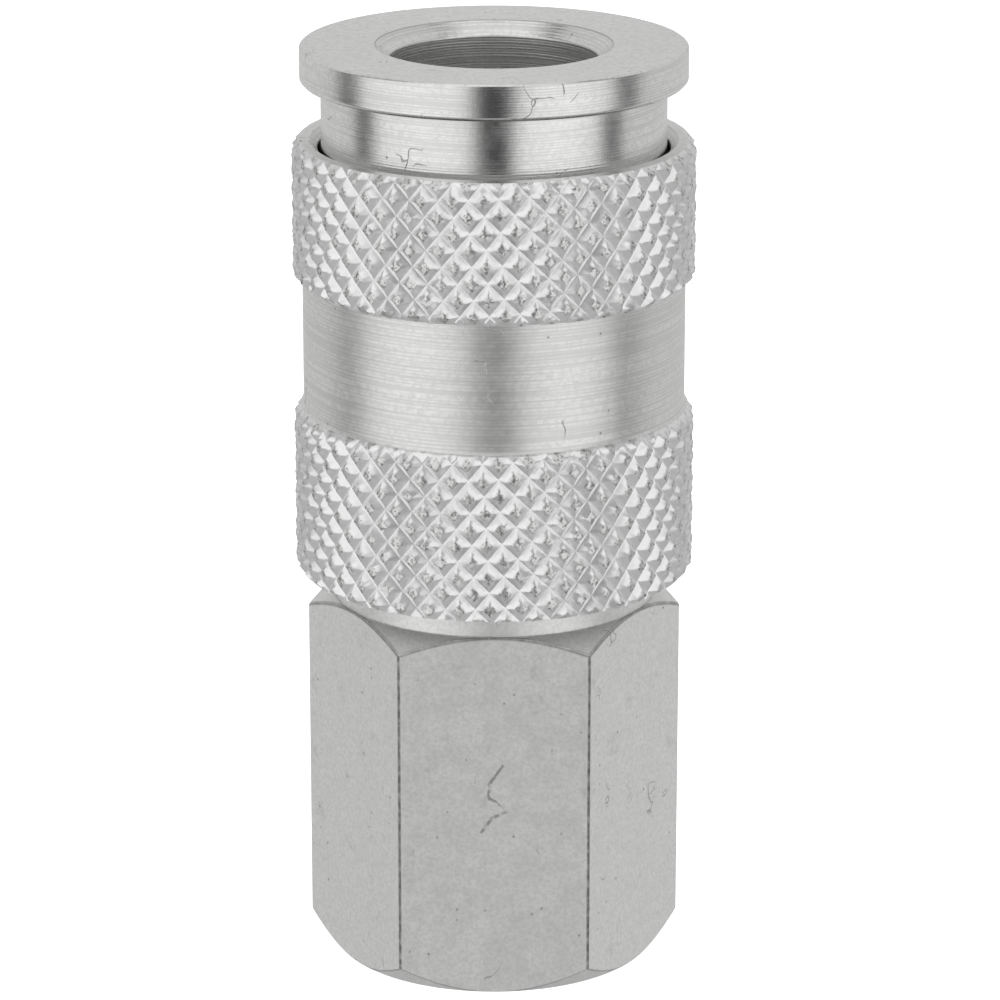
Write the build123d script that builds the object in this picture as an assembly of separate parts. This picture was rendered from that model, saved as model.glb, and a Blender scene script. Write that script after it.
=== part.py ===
from build123d import *
import math
import os

# Push-to-connect coupler with a ball lock. All sizes are in millimetres.
# Z is the coupler's axis: Z = 0 is the rear face of the hex, and +Z points at the nose, where the plug
# goes in. It is drawn as it waits for a plug: the sleeve is latched back by the balls, which rest on the
# ball retainer, and the valve is shut.

# ---- overall sizes
OVERALL_LENGTH = 54.5
HEX_ACROSS_FLATS = 19.05
ADAPTER_LENGTH = 25.0
SLEEVE_WALL = 1.52

# ---- nose, from its front face backwards
PLUG_BORE_RADIUS = 6.0
ENTRY_CHAMFER = 0.8
FLANGE_THICKNESS = 2.1
FLANGE_OVERHANG = 1.2
FLANGE_BEVEL = 0.15
NECK_ABOVE_CONE = 0.3862
NECK_CHAMFER = 0.3
TUBE_WALL = 1.05
BALL_DEPTH = 11.5

# ---- balls and the cone in the sleeve that drives them
BALL_COUNT = 6
BALL_RADIUS = 1.5875
BALL_HOLE_CLEARANCE = 0.0625
BALL_LIP_GRIP = 0.0125
BALL_LIP_WIDTH = 0.1
BALL_TO_CONE_GAP = 0.03
BALL_DROP = 1.2
SLEEVE_TRAVEL = 3.3
STOP_GAP = 0.1

# ---- steps in the nose body's bore, each wider than the one in front of it
RELIEF_STEP = 0.2
RELIEF_ABOVE_BALLS = 2.2
RELIEF_BELOW_BALLS = 3.2
RETAINER_BORE_STEP = 0.5
VALVE_BORE_STEP = 0.25

# ---- sleeve
NECK_ABOVE_BALLS = 0.575
SKIRT_CLEARANCE = 0.2
LAND_CLEARANCE = 0.08
LAND_LENGTH = 5.07
SLEEVE_OVERLAP = 1.55
POCKET_INSET = 0.15
FRONT_KNURL_WIDTH = 7.7
REAR_KNURL_WIDTH = 9.25
KNURL_BEVEL = 0.4
PLAIN_BAND_DEPTH = 0.57
FRONT_SHOULDER_LENGTH = 0.5
REAR_SHOULDER_LENGTH = 0.6
SLEEVE_LIP_BEVEL = 0.44

# ---- ball retainer, which slides back in front of the plug
RUNNING_CLEARANCE = 0.1
RETAINER_PER_SLEEVE = 2.0
RETAINER_AHEAD_OF_BALLS = 0.5
RETAINER_CHAMFER = 0.3
RETAINER_FLANGE_THICKNESS = 1.2
RETAINER_WALL = 0.6
RETAINER_NOSE_THICKNESS = 2.0
RETAINER_END_GAP = 0.3
RETAINER_SPRING_GAP = 0.6
RETAINER_BORE_INSET = 0.8

# ---- seal pack and valve seat, stacked behind the retainer's spring
FIT_CLEARANCE = 0.02
WASHER_THICKNESS = 0.7
WASHER_BORE_INSET = 0.5
SEAL_LENGTH = 3.0
SEAL_HOLE_RADIUS = 3.85
SEAL_LIP_WIDTH = 1.05
SEAL_GROOVE_DEPTH = 1.5
SEAT_LENGTH = 3.6
SEAT_HOLE_RADIUS = 4.0
SEAT_CHAMFER = 0.5
CIRCLIP_THICKNESS = 0.8
CIRCLIP_GROOVE_DEPTH = 0.45
CIRCLIP_INSET = 0.75
CIRCLIP_GROOVE_CLEARANCE = 0.05
CIRCLIP_OPENING = 3.0

# ---- valve
VALVE_TO_SEAT_GAP = 0.03
POPPET_OVERHANG = 1.4
POPPET_HEAD_THICKNESS = 2.3
POPPET_SEAL_THICKNESS = 1.37
POPPET_SEAL_INSET = 0.2
POPPET_BOSS_RADIUS = 3.3
POPPET_NOSE_LENGTH = 3.1
POPPET_NOSE_RADIUS = 3.6
POPPET_HUB_RADIUS = 1.6
POPPET_FIN_THICKNESS = 1.0
POPPET_FIN_COUNT = 4
STEM_RADIUS = 1.5
STEM_CLEARANCE = 0.08
STEM_SHORT_OF_GUIDE = 0.2
EDGE_BREAK = 0.3

# ---- hex adapter
HEX_CORNER_ROUNDING = 0.3
HEX_LENGTH = 21.9
HEX_TOP_ANGLE = 37.0
HEX_REAR_BEVEL_RADIUS = 9.5
COLLAR_BEYOND_SPRING = 0.35
INLET_RADIUS = 5.7
INLET_LENGTH = 11.0
INLET_CHAMFER = 1.3
PASSAGE_RADIUS = 4.5
PASSAGE_LENGTH = 1.0
CHAMBER_INSET = 1.5
THREAD_ENGAGEMENT = 7.4
THREAD_CLEARANCE = 0.04
GASKET_THICKNESS = 0.6
GASKET_CLEARANCE = 0.1

# ---- valve guide
GUIDE_THICKNESS = 1.5
GUIDE_HUB_LENGTH = 3.0
GUIDE_HUB_WALL = 0.8
GUIDE_RIM_WIDTH = 1.05
GUIDE_CLEARANCE = 0.05
GUIDE_SPOKE_WIDTH = 1.4
GUIDE_SPOKE_COUNT = 3

# ---- springs
SPRING_END_GAP = 0.02
CLOSED_PITCH_RATIO = 1.4
SLEEVE_SPRING_WIRE = 0.9
SLEEVE_SPRING_GAP = 0.6
RETAINER_SPRING_WIRE = 0.5
RETAINER_SPRING_RATIO = 3.8
VALVE_SPRING_WIRE = 0.6
VALVE_SPRING_INSET = 2.5
VALVE_SPRING_RATIO = 2.2

# ---- radii that follow, from the bore outwards
RELIEF_RADIUS = PLUG_BORE_RADIUS + RELIEF_STEP
RETAINER_BORE_RADIUS = RELIEF_RADIUS + RETAINER_BORE_STEP
VALVE_BORE_RADIUS = RETAINER_BORE_RADIUS + VALVE_BORE_STEP
TUBE_RADIUS = VALVE_BORE_RADIUS + TUBE_WALL
BALL_CENTRE_RADIUS = RELIEF_RADIUS + BALL_RADIUS
NECK_RADIUS = BALL_CENTRE_RADIUS + BALL_RADIUS + NECK_ABOVE_BALLS
FLANGE_RADIUS = NECK_RADIUS + FLANGE_OVERHANG
SKIRT_RADIUS = NECK_RADIUS + SKIRT_CLEARANCE
LAND_RADIUS = TUBE_RADIUS + LAND_CLEARANCE
POCKET_RADIUS = SKIRT_RADIUS - POCKET_INSET
KNURL_RADIUS = SKIRT_RADIUS + SLEEVE_WALL
PLAIN_BAND_RADIUS = KNURL_RADIUS - PLAIN_BAND_DEPTH
PACK_RADIUS = VALVE_BORE_RADIUS - FIT_CLEARANCE
RETAINER_RADIUS = RELIEF_RADIUS - RUNNING_CLEARANCE
RETAINER_FLANGE_RADIUS = RETAINER_BORE_RADIUS - RUNNING_CLEARANCE
RETAINER_POCKET_RADIUS = RETAINER_RADIUS - RETAINER_WALL
RETAINER_SPRING_RADIUS = RETAINER_POCKET_RADIUS - RETAINER_SPRING_GAP
RETAINER_HOLE_RADIUS = RETAINER_SPRING_RADIUS - RETAINER_BORE_INSET
WASHER_HOLE_RADIUS = RETAINER_SPRING_RADIUS - WASHER_BORE_INSET
POPPET_HEAD_RADIUS = SEAT_HOLE_RADIUS + POPPET_OVERHANG
SOCKET_RADIUS = TUBE_RADIUS + THREAD_CLEARANCE
CHAMBER_RADIUS = TUBE_RADIUS - CHAMBER_INSET
SLEEVE_SPRING_RADIUS = TUBE_RADIUS + SLEEVE_SPRING_GAP + SLEEVE_SPRING_WIRE / 2
COLLAR_RADIUS = SLEEVE_SPRING_RADIUS + COLLAR_BEYOND_SPRING
VALVE_SPRING_RADIUS = CHAMBER_RADIUS - VALVE_SPRING_INSET
HEX_APOTHEM = HEX_ACROSS_FLATS / 2
HEX_CORNER_RADIUS = HEX_APOTHEM / math.cos(math.radians(30))

# ---- heights that follow, from the nose backwards
FLANGE_REAR = OVERALL_LENGTH - FLANGE_THICKNESS
BALL_HEIGHT = OVERALL_LENGTH - BALL_DEPTH
RELIEF_FRONT = BALL_HEIGHT + RELIEF_ABOVE_BALLS
RELIEF_REAR = BALL_HEIGHT - RELIEF_BELOW_BALLS
RETAINER_FRONT = BALL_HEIGHT + RETAINER_AHEAD_OF_BALLS
RETAINER_FLANGE_FRONT = RELIEF_REAR - STOP_GAP
RETAINER_REAR = RETAINER_FLANGE_FRONT - RETAINER_FLANGE_THICKNESS
RETAINER_SPRING_FRONT = RETAINER_FRONT - RETAINER_NOSE_THICKNESS
PACK_FRONT = RETAINER_REAR - RETAINER_PER_SLEEVE * SLEEVE_TRAVEL - RETAINER_END_GAP
SEAL_FRONT = PACK_FRONT - WASHER_THICKNESS
SEAT_FRONT = SEAL_FRONT - SEAL_LENGTH
SEAT_REAR = SEAT_FRONT - SEAT_LENGTH
CIRCLIP_REAR = SEAT_REAR - CIRCLIP_THICKNESS
VALVE_FRONT = SEAT_REAR - VALVE_TO_SEAT_GAP
POPPET_HEAD_FRONT = VALVE_FRONT - POPPET_SEAL_THICKNESS
POPPET_HEAD_REAR = POPPET_HEAD_FRONT - POPPET_HEAD_THICKNESS

# ---- heights in the adapter
TAIL_REAR = ADAPTER_LENGTH - THREAD_ENGAGEMENT
GASKET_REAR = TAIL_REAR - GASKET_THICKNESS
GUIDE_REAR = INLET_LENGTH + PASSAGE_LENGTH
GUIDE_FRONT = GUIDE_REAR + GUIDE_THICKNESS
STEM_REAR = GUIDE_REAR + STEM_SHORT_OF_GUIDE

# ---- the sleeve's heights, between the nose's flange and the adapter's collar
SLEEVE_FRONT = FLANGE_REAR - SLEEVE_TRAVEL - STOP_GAP
SLEEVE_REAR = ADAPTER_LENGTH - SLEEVE_OVERLAP
CONE_SLOPE = BALL_DROP / SLEEVE_TRAVEL
CONE_RADIUS_AT_BALLS = BALL_CENTRE_RADIUS + (BALL_RADIUS + BALL_TO_CONE_GAP) / math.cos(
    math.atan(CONE_SLOPE)
)
CONE_REAR = BALL_HEIGHT - (CONE_RADIUS_AT_BALLS - LAND_RADIUS) / CONE_SLOPE
CONE_FRONT = BALL_HEIGHT + (SKIRT_RADIUS - CONE_RADIUS_AT_BALLS) / CONE_SLOPE
SPRING_SHOULDER = CONE_REAR - LAND_LENGTH

# ---- the neck stays in front of the sleeve's cone when the sleeve is right forward
CONE_AT_NECK = CONE_FRONT - SKIRT_CLEARANCE / CONE_SLOPE + SLEEVE_TRAVEL
NECK_REAR = CONE_AT_NECK + NECK_ABOVE_CONE
BAND_FRONT = SLEEVE_FRONT - FRONT_KNURL_WIDTH - FRONT_SHOULDER_LENGTH
BAND_REAR = SLEEVE_REAR + REAR_KNURL_WIDTH + REAR_SHOULDER_LENGTH


def turned(outline):
    """A solid of revolution about Z from a closed outline of (radius, height) points."""
    edge = Polyline([(radius, 0, height) for radius, height in outline], close=True)
    return revolve(make_face(edge), Axis.Z)


def ring(inner, outer, rear, front):
    """A plain ring between two radii and two heights."""
    return turned([(inner, rear), (outer, rear), (outer, front), (inner, front)])


def radial_hole(radius, start, end, height):
    """A round bar along +X from one radius to another, at a height."""
    middle = Pos((start + end) / 2, 0, height)
    return middle * Rot(0, 90, 0) * Cylinder(radius, end - start)


def coil(mean_radius, wire, rear, front, pitch_ratio):
    """A helical spring that just fits between two heights, with its pitch a multiple of its wire."""
    height = front - rear - wire - 2 * SPRING_END_GAP
    turns = max(2, round(height / (wire * pitch_ratio)))
    path = Helix(pitch=height / turns, height=height, radius=mean_radius)
    section = Plane(origin=path @ 0, z_dir=path % 0) * Circle(wire / 2)
    return Pos(0, 0, rear + SPRING_END_GAP + wire / 2) * sweep(section, path=path)


def make_nose_body():
    """The nose: flange, neck and the long tube that holds the balls, the seal pack and the valve seat."""
    groove_radius = VALVE_BORE_RADIUS + CIRCLIP_GROOVE_DEPTH
    groove_rear = CIRCLIP_REAR - CIRCLIP_GROOVE_CLEARANCE
    body = turned(
        [
            (VALVE_BORE_RADIUS, TAIL_REAR),
            (TUBE_RADIUS - EDGE_BREAK, TAIL_REAR),
            (TUBE_RADIUS, TAIL_REAR + EDGE_BREAK),
            (TUBE_RADIUS, NECK_REAR),
            (NECK_RADIUS - NECK_CHAMFER, NECK_REAR),
            (NECK_RADIUS, NECK_REAR + NECK_CHAMFER),
            (NECK_RADIUS, FLANGE_REAR),
            (FLANGE_RADIUS - FLANGE_BEVEL, FLANGE_REAR),
            (FLANGE_RADIUS, FLANGE_REAR + FLANGE_BEVEL),
            (FLANGE_RADIUS, OVERALL_LENGTH - FLANGE_BEVEL),
            (FLANGE_RADIUS - FLANGE_BEVEL, OVERALL_LENGTH),
            (PLUG_BORE_RADIUS + ENTRY_CHAMFER, OVERALL_LENGTH),
            (PLUG_BORE_RADIUS, OVERALL_LENGTH - ENTRY_CHAMFER),
            (PLUG_BORE_RADIUS, RELIEF_FRONT),
            (RELIEF_RADIUS, RELIEF_FRONT - RELIEF_STEP),
            (RELIEF_RADIUS, RELIEF_REAR),
            (RETAINER_BORE_RADIUS, RELIEF_REAR),
            (RETAINER_BORE_RADIUS, PACK_FRONT),
            (VALVE_BORE_RADIUS, PACK_FRONT),
            (VALVE_BORE_RADIUS, SEAT_REAR),
            (groove_radius, SEAT_REAR),
            (groove_radius, groove_rear),
            (VALVE_BORE_RADIUS, groove_rear),
        ]
    )
    lip = RELIEF_RADIUS + BALL_LIP_WIDTH
    through = radial_hole(BALL_RADIUS - BALL_LIP_GRIP, PLUG_BORE_RADIUS / 2, lip + 1, BALL_HEIGHT)
    seat = radial_hole(BALL_RADIUS + BALL_HOLE_CLEARANCE, lip, TUBE_RADIUS + 1, BALL_HEIGHT)
    for number in range(BALL_COUNT):
        turn = Rot(0, 0, number * 360 / BALL_COUNT)
        body = body - turn * through - turn * seat
    return body


def make_ball(number):
    """One locking ball, held out in its hole by the ball retainer."""
    place = Pos(BALL_CENTRE_RADIUS, 0, BALL_HEIGHT)
    return Rot(0, 0, number * 360 / BALL_COUNT) * place * Sphere(BALL_RADIUS)


def make_sleeve():
    """The sleeve: two knurled bands and a plain one outside; spring pocket, land and lock cone inside."""
    return turned(
        [
            (POCKET_RADIUS, SLEEVE_REAR),
            (KNURL_RADIUS - KNURL_BEVEL, SLEEVE_REAR),
            (KNURL_RADIUS, SLEEVE_REAR + KNURL_BEVEL),
            (KNURL_RADIUS, SLEEVE_REAR + REAR_KNURL_WIDTH),
            (PLAIN_BAND_RADIUS, BAND_REAR),
            (PLAIN_BAND_RADIUS, BAND_FRONT),
            (KNURL_RADIUS, SLEEVE_FRONT - FRONT_KNURL_WIDTH),
            (KNURL_RADIUS, SLEEVE_FRONT - KNURL_BEVEL),
            (KNURL_RADIUS - KNURL_BEVEL, SLEEVE_FRONT),
            (SKIRT_RADIUS + SLEEVE_LIP_BEVEL, SLEEVE_FRONT),
            (SKIRT_RADIUS, SLEEVE_FRONT - SLEEVE_LIP_BEVEL),
            (SKIRT_RADIUS, CONE_FRONT),
            (LAND_RADIUS, CONE_REAR),
            (LAND_RADIUS, SPRING_SHOULDER),
            (POCKET_RADIUS, SPRING_SHOULDER),
        ]
    )


def make_ball_retainer():
    """The cup that keeps the balls out until a plug pushes it back against its spring."""
    return turned(
        [
            (RETAINER_POCKET_RADIUS, RETAINER_REAR),
            (RETAINER_FLANGE_RADIUS, RETAINER_REAR),
            (RETAINER_FLANGE_RADIUS, RETAINER_FLANGE_FRONT),
            (RETAINER_RADIUS, RETAINER_FLANGE_FRONT),
            (RETAINER_RADIUS, RETAINER_FRONT - RETAINER_CHAMFER),
            (RETAINER_RADIUS - RETAINER_CHAMFER, RETAINER_FRONT),
            (RETAINER_HOLE_RADIUS, RETAINER_FRONT),
            (RETAINER_HOLE_RADIUS, RETAINER_SPRING_FRONT),
            (RETAINER_POCKET_RADIUS, RETAINER_SPRING_FRONT),
        ]
    )


def make_plug_seal():
    """The rubber lip seal round the plug's tip, with its groove open to the air's side."""
    groove_inner = SEAL_HOLE_RADIUS + SEAL_LIP_WIDTH
    groove_outer = PACK_RADIUS - SEAL_LIP_WIDTH
    groove = ring(groove_inner, groove_outer, SEAT_FRONT, SEAT_FRONT + SEAL_GROOVE_DEPTH)
    return ring(SEAL_HOLE_RADIUS, PACK_RADIUS, SEAT_FRONT, SEAL_FRONT) - groove


def make_valve_seat():
    """The seat ring behind the seal, with a bevelled hole that the valve shuts."""
    return turned(
        [
            (SEAT_HOLE_RADIUS + SEAT_CHAMFER, SEAT_REAR),
            (PACK_RADIUS, SEAT_REAR),
            (PACK_RADIUS, SEAT_FRONT),
            (SEAT_HOLE_RADIUS, SEAT_FRONT),
            (SEAT_HOLE_RADIUS, SEAT_REAR + SEAT_CHAMFER),
        ]
    )


def make_seat_circlip():
    """The open spring ring that holds the seat and the seal pack in the tube."""
    outer = VALVE_BORE_RADIUS + CIRCLIP_GROOVE_DEPTH - CIRCLIP_GROOVE_CLEARANCE
    full = ring(VALVE_BORE_RADIUS - CIRCLIP_INSET, outer, CIRCLIP_REAR, SEAT_REAR)
    opening = Pos(outer, 0, CIRCLIP_REAR) * Box(outer, CIRCLIP_OPENING, 4 * CIRCLIP_THICKNESS)
    return full - opening


def make_valve_poppet():
    """The valve: a stem and head, and a finned nose through the seat that the plug's tip pushes."""
    body = turned(
        [
            (0, STEM_REAR),
            (STEM_RADIUS - EDGE_BREAK, STEM_REAR),
            (STEM_RADIUS, STEM_REAR + EDGE_BREAK),
            (STEM_RADIUS, POPPET_HEAD_REAR),
            (POPPET_HEAD_RADIUS - EDGE_BREAK, POPPET_HEAD_REAR),
            (POPPET_HEAD_RADIUS, POPPET_HEAD_REAR + EDGE_BREAK),
            (POPPET_HEAD_RADIUS, POPPET_HEAD_FRONT),
            (POPPET_BOSS_RADIUS, POPPET_HEAD_FRONT),
            (POPPET_BOSS_RADIUS, VALVE_FRONT),
            (POPPET_HUB_RADIUS, VALVE_FRONT),
            (POPPET_HUB_RADIUS, VALVE_FRONT + POPPET_NOSE_LENGTH),
            (0, VALVE_FRONT + POPPET_NOSE_LENGTH),
        ]
    )
    fin = Box(POPPET_NOSE_RADIUS, POPPET_FIN_THICKNESS, POPPET_NOSE_LENGTH)
    place = Pos(POPPET_NOSE_RADIUS / 2, 0, VALVE_FRONT + POPPET_NOSE_LENGTH / 2)
    for number in range(POPPET_FIN_COUNT):
        body = body + Rot(0, 0, number * 360 / POPPET_FIN_COUNT) * place * fin
    return body


def make_poppet_seal():
    """The rubber face ring on the valve's head."""
    outer = POPPET_HEAD_RADIUS - POPPET_SEAL_INSET
    return turned(
        [
            (POPPET_BOSS_RADIUS, POPPET_HEAD_FRONT),
            (outer, POPPET_HEAD_FRONT),
            (outer, VALVE_FRONT - EDGE_BREAK),
            (outer - EDGE_BREAK, VALVE_FRONT),
            (POPPET_BOSS_RADIUS, VALVE_FRONT),
        ]
    )


def make_valve_guide():
    """The spider at the bottom of the chamber: a hub for the stem on spokes, with air passing between."""
    outer = CHAMBER_RADIUS - GUIDE_CLEARANCE
    inner = outer - GUIDE_RIM_WIDTH
    hole = STEM_RADIUS + STEM_CLEARANCE
    hub = hole + GUIDE_HUB_WALL
    guide = ring(inner, outer, GUIDE_REAR, GUIDE_FRONT)
    spoke_start = (hole + hub) / 2
    spoke_end = (inner + outer) / 2
    spoke = Box(spoke_end - spoke_start, GUIDE_SPOKE_WIDTH, GUIDE_THICKNESS)
    place = Pos((spoke_start + spoke_end) / 2, 0, (GUIDE_REAR + GUIDE_FRONT) / 2)
    for number in range(GUIDE_SPOKE_COUNT):
        guide = guide + Rot(0, 0, number * 360 / GUIDE_SPOKE_COUNT) * place * spoke
    guide = guide + ring(hole, hub, GUIDE_REAR, GUIDE_REAR + GUIDE_HUB_LENGTH)
    return guide - Pos(0, 0, GUIDE_REAR) * Cylinder(hole, 4 * GUIDE_HUB_LENGTH)


def make_hex_blank():
    """The outside of the adapter: a hexagon turned to a cone at its front and bevelled at its rear."""
    hexagon = extrude(RegularPolygon(HEX_APOTHEM, 6, major_radius=False), HEX_LENGTH)
    hexagon = fillet(hexagon.edges().filter_by(Axis.Z), HEX_CORNER_ROUNDING)
    front_drop = (HEX_CORNER_RADIUS - HEX_APOTHEM) * math.tan(math.radians(HEX_TOP_ANGLE))
    bevel = HEX_CORNER_RADIUS - min(HEX_REAR_BEVEL_RADIUS, HEX_APOTHEM)
    envelope = turned(
        [
            (0, 0),
            (HEX_CORNER_RADIUS - bevel, 0),
            (HEX_CORNER_RADIUS, bevel),
            (HEX_CORNER_RADIUS, HEX_LENGTH - front_drop),
            (HEX_APOTHEM, HEX_LENGTH),
            (0, HEX_LENGTH),
        ]
    )
    return hexagon & envelope


def make_hex_adapter():
    """The adapter: wrench hexagon, inlet thread at the rear and the socket that takes the nose's tube."""
    collar = turned(
        [
            (0, HEX_LENGTH),
            (COLLAR_RADIUS, HEX_LENGTH),
            (COLLAR_RADIUS, ADAPTER_LENGTH - FLANGE_BEVEL),
            (COLLAR_RADIUS - FLANGE_BEVEL, ADAPTER_LENGTH),
            (0, ADAPTER_LENGTH),
        ]
    )
    inside = turned(
        [
            (0, -1),
            (INLET_RADIUS + INLET_CHAMFER, -1),
            (INLET_RADIUS + INLET_CHAMFER, 0),
            (INLET_RADIUS, INLET_CHAMFER),
            (INLET_RADIUS, INLET_LENGTH),
            (PASSAGE_RADIUS, INLET_LENGTH),
            (PASSAGE_RADIUS, GUIDE_REAR),
            (CHAMBER_RADIUS, GUIDE_REAR),
            (CHAMBER_RADIUS, GASKET_REAR),
            (SOCKET_RADIUS, GASKET_REAR),
            (SOCKET_RADIUS, ADAPTER_LENGTH + 1),
            (0, ADAPTER_LENGTH + 1),
        ]
    )
    return make_hex_blank() + collar - inside


def make_parts():
    """Every piece of the coupler, by name."""
    parts = {
        "hex_adapter": make_hex_adapter(),
        "nose_body": make_nose_body(),
        "sleeve": make_sleeve(),
        "ball_retainer": make_ball_retainer(),
        "seal_washer": ring(WASHER_HOLE_RADIUS, PACK_RADIUS, SEAL_FRONT, PACK_FRONT),
        "plug_seal": make_plug_seal(),
        "valve_seat": make_valve_seat(),
        "seat_circlip": make_seat_circlip(),
        "valve_poppet": make_valve_poppet(),
        "poppet_seal": make_poppet_seal(),
        "valve_guide": make_valve_guide(),
        "body_gasket": ring(
            CHAMBER_RADIUS + GASKET_CLEARANCE,
            TUBE_RADIUS - GASKET_CLEARANCE,
            GASKET_REAR,
            TAIL_REAR,
        ),
        "sleeve_spring": coil(
            SLEEVE_SPRING_RADIUS,
            SLEEVE_SPRING_WIRE,
            ADAPTER_LENGTH,
            SPRING_SHOULDER,
            CLOSED_PITCH_RATIO,
        ),
        "retainer_spring": coil(
            RETAINER_SPRING_RADIUS,
            RETAINER_SPRING_WIRE,
            PACK_FRONT,
            RETAINER_SPRING_FRONT,
            RETAINER_SPRING_RATIO,
        ),
        "valve_spring": coil(
            VALVE_SPRING_RADIUS,
            VALVE_SPRING_WIRE,
            GUIDE_FRONT,
            POPPET_HEAD_REAR,
            VALVE_SPRING_RATIO,
        ),
    }
    for number in range(BALL_COUNT):
        parts[f"ball_{number + 1}"] = make_ball(number)
    return parts


def main():
    """Write each piece to its own STEP file in parts/."""
    os.makedirs("parts", exist_ok=True)
    for name, piece in make_parts().items():
        export_step(piece, f"parts/{name}.step")


main()
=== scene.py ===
"""Looks of a push-to-connect air coupler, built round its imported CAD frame.

Sizes are in millimetres unless a name says otherwise, and become metres when a mesh is made.
The coupler's axis is Z, its nose points at +Z, and angles round it start at -Y and grow towards +X.
"""

import logging
import math
from collections.abc import Iterable, Sequence
from dataclasses import dataclass, field
from enum import Enum
from functools import cache

import bmesh
import bpy
from mathutils import Matrix, Vector


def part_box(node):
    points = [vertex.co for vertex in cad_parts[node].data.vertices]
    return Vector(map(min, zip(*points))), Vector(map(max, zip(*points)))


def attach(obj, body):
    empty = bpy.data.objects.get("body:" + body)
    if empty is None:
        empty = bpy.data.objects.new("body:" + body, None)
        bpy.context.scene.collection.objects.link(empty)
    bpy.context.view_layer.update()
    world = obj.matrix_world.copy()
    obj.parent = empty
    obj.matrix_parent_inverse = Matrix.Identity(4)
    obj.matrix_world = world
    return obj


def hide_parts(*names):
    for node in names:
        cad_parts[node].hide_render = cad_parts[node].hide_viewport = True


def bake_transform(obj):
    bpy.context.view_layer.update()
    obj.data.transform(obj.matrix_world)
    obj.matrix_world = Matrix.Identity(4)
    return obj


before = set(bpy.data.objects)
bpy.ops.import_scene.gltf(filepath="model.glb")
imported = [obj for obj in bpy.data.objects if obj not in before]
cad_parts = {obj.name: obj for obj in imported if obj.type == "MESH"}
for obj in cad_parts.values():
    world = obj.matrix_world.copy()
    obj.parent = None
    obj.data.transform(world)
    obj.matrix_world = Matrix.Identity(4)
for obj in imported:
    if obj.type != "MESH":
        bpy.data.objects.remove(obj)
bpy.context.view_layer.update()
LOG = logging.getLogger("coupler")

MM = 0.001
TURN = 2 * math.pi
LATHE_SEGMENTS = 256
FINE_ARC = math.radians(12)
RING_LEVEL = 0.6

Point = tuple[float, float]
Socket = bpy.types.NodeSocket
Ring = list[bmesh.types.BMVert]


# ---------------------------------------------------------------------------------------- node helper


class Graph:
    """Makes and joins the nodes of one tree, for shaders and geometry alike."""

    def __init__(self, tree: bpy.types.NodeTree) -> None:
        """Start with an empty tree.

        Args:
            tree: the node tree to fill.
        """
        self.tree = tree
        tree.nodes.clear()

    def node(self, kind: str, inputs: dict | None = None, **settings: object) -> bpy.types.Node:
        """Add one node.

        Args:
            kind: the node's class name.
            inputs: values or sockets for its inputs, by name or number.
            settings: the node's own properties.

        Returns:
            The new node.
        """
        made = self.tree.nodes.new(kind)
        for name, value in settings.items():
            setattr(made, name, value)
        for key, value in (inputs or {}).items():
            self.feed(made.inputs[key], value)
        return made

    def feed(self, target: Socket, value: object) -> None:
        """Give an input a plain value, or join it to a socket."""
        if isinstance(value, Socket):
            self.tree.links.new(value, target)
        else:
            target.default_value = value

    def maths(self, operation: str, *values: object, clamp: bool = False) -> Socket:
        """Add a maths node.

        Args:
            operation: the name of the sum, such as ADD.
            values: up to three numbers or sockets.
            clamp: whether the result is kept between 0 and 1.

        Returns:
            The result's socket.
        """
        inputs = dict(enumerate(values))
        return self.node("ShaderNodeMath", inputs, operation=operation, use_clamp=clamp).outputs[0]

    def vectors(self, operation: str, first: object, second: object) -> bpy.types.Node:
        """Add a vector maths node that takes two vectors."""
        return self.node("ShaderNodeVectorMath", {0: first, 1: second}, operation=operation)

    def remap(self, value: Socket, low: float, high: float, start: float, end: float) -> Socket:
        """Map a range onto another, held at its ends, with a smooth rise between them."""
        made = self.node(
            "ShaderNodeMapRange",
            {0: value, 1: low, 2: high, 3: start, 4: end},
            interpolation_type="SMOOTHSTEP",
        )
        return made.outputs[0]

    def split(self, vector: Socket) -> tuple[Socket, Socket, Socket]:
        """The three parts of a vector."""
        made = self.node("ShaderNodeSeparateXYZ", {0: vector})
        return made.outputs[0], made.outputs[1], made.outputs[2]

    def join(self, x: object, y: object, z: object) -> Socket:
        """A vector made from three numbers or sockets."""
        return self.node("ShaderNodeCombineXYZ", {0: x, 1: y, 2: z}).outputs[0]

    def bump(self, height: Socket) -> Socket:
        """A normal tilted by a height in metres."""
        return self.node("ShaderNodeBump", {"Strength": 1.0, "Distance": 1.0, "Height": height}).outputs[0]

    def axis_angle(self, place: Socket) -> Socket:
        """The angle of a point round the Z axis, 0 at -Y."""
        x, y, _ = self.split(place)
        return self.maths("ARCTAN2", x, self.maths("MULTIPLY", y, -1.0))

    def axis_distance(self, place: Socket) -> Socket:
        """The distance of a point from the Z axis."""
        x, y, _ = self.split(place)
        squares = self.maths("ADD", self.maths("MULTIPLY", x, x), self.maths("MULTIPLY", y, y))
        return self.maths("SQRT", squares)

    def noise(self, vector: Socket, scale: float, detail: float = 3.0, roughness: float = 0.55) -> Socket:
        """Fractal noise between about 0 and 1 at a vector."""
        values = {"Vector": vector, "Scale": scale, "Detail": detail, "Roughness": roughness}
        made = self.node("ShaderNodeTexNoise", values)
        return next(s for s in made.outputs if s.type == "VALUE")

    def mix(self, factor: object, first: object, second: object) -> Socket:
        """Blend two colours by a factor."""
        made = self.node("ShaderNodeMix", data_type="RGBA")
        self.feed(made.inputs["Factor"], factor)
        self.feed([s for s in made.inputs if s.name == "A" and s.type == "RGBA"][0], first)
        self.feed([s for s in made.inputs if s.name == "B" and s.type == "RGBA"][0], second)
        return [s for s in made.outputs if s.type == "RGBA"][0]


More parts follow.
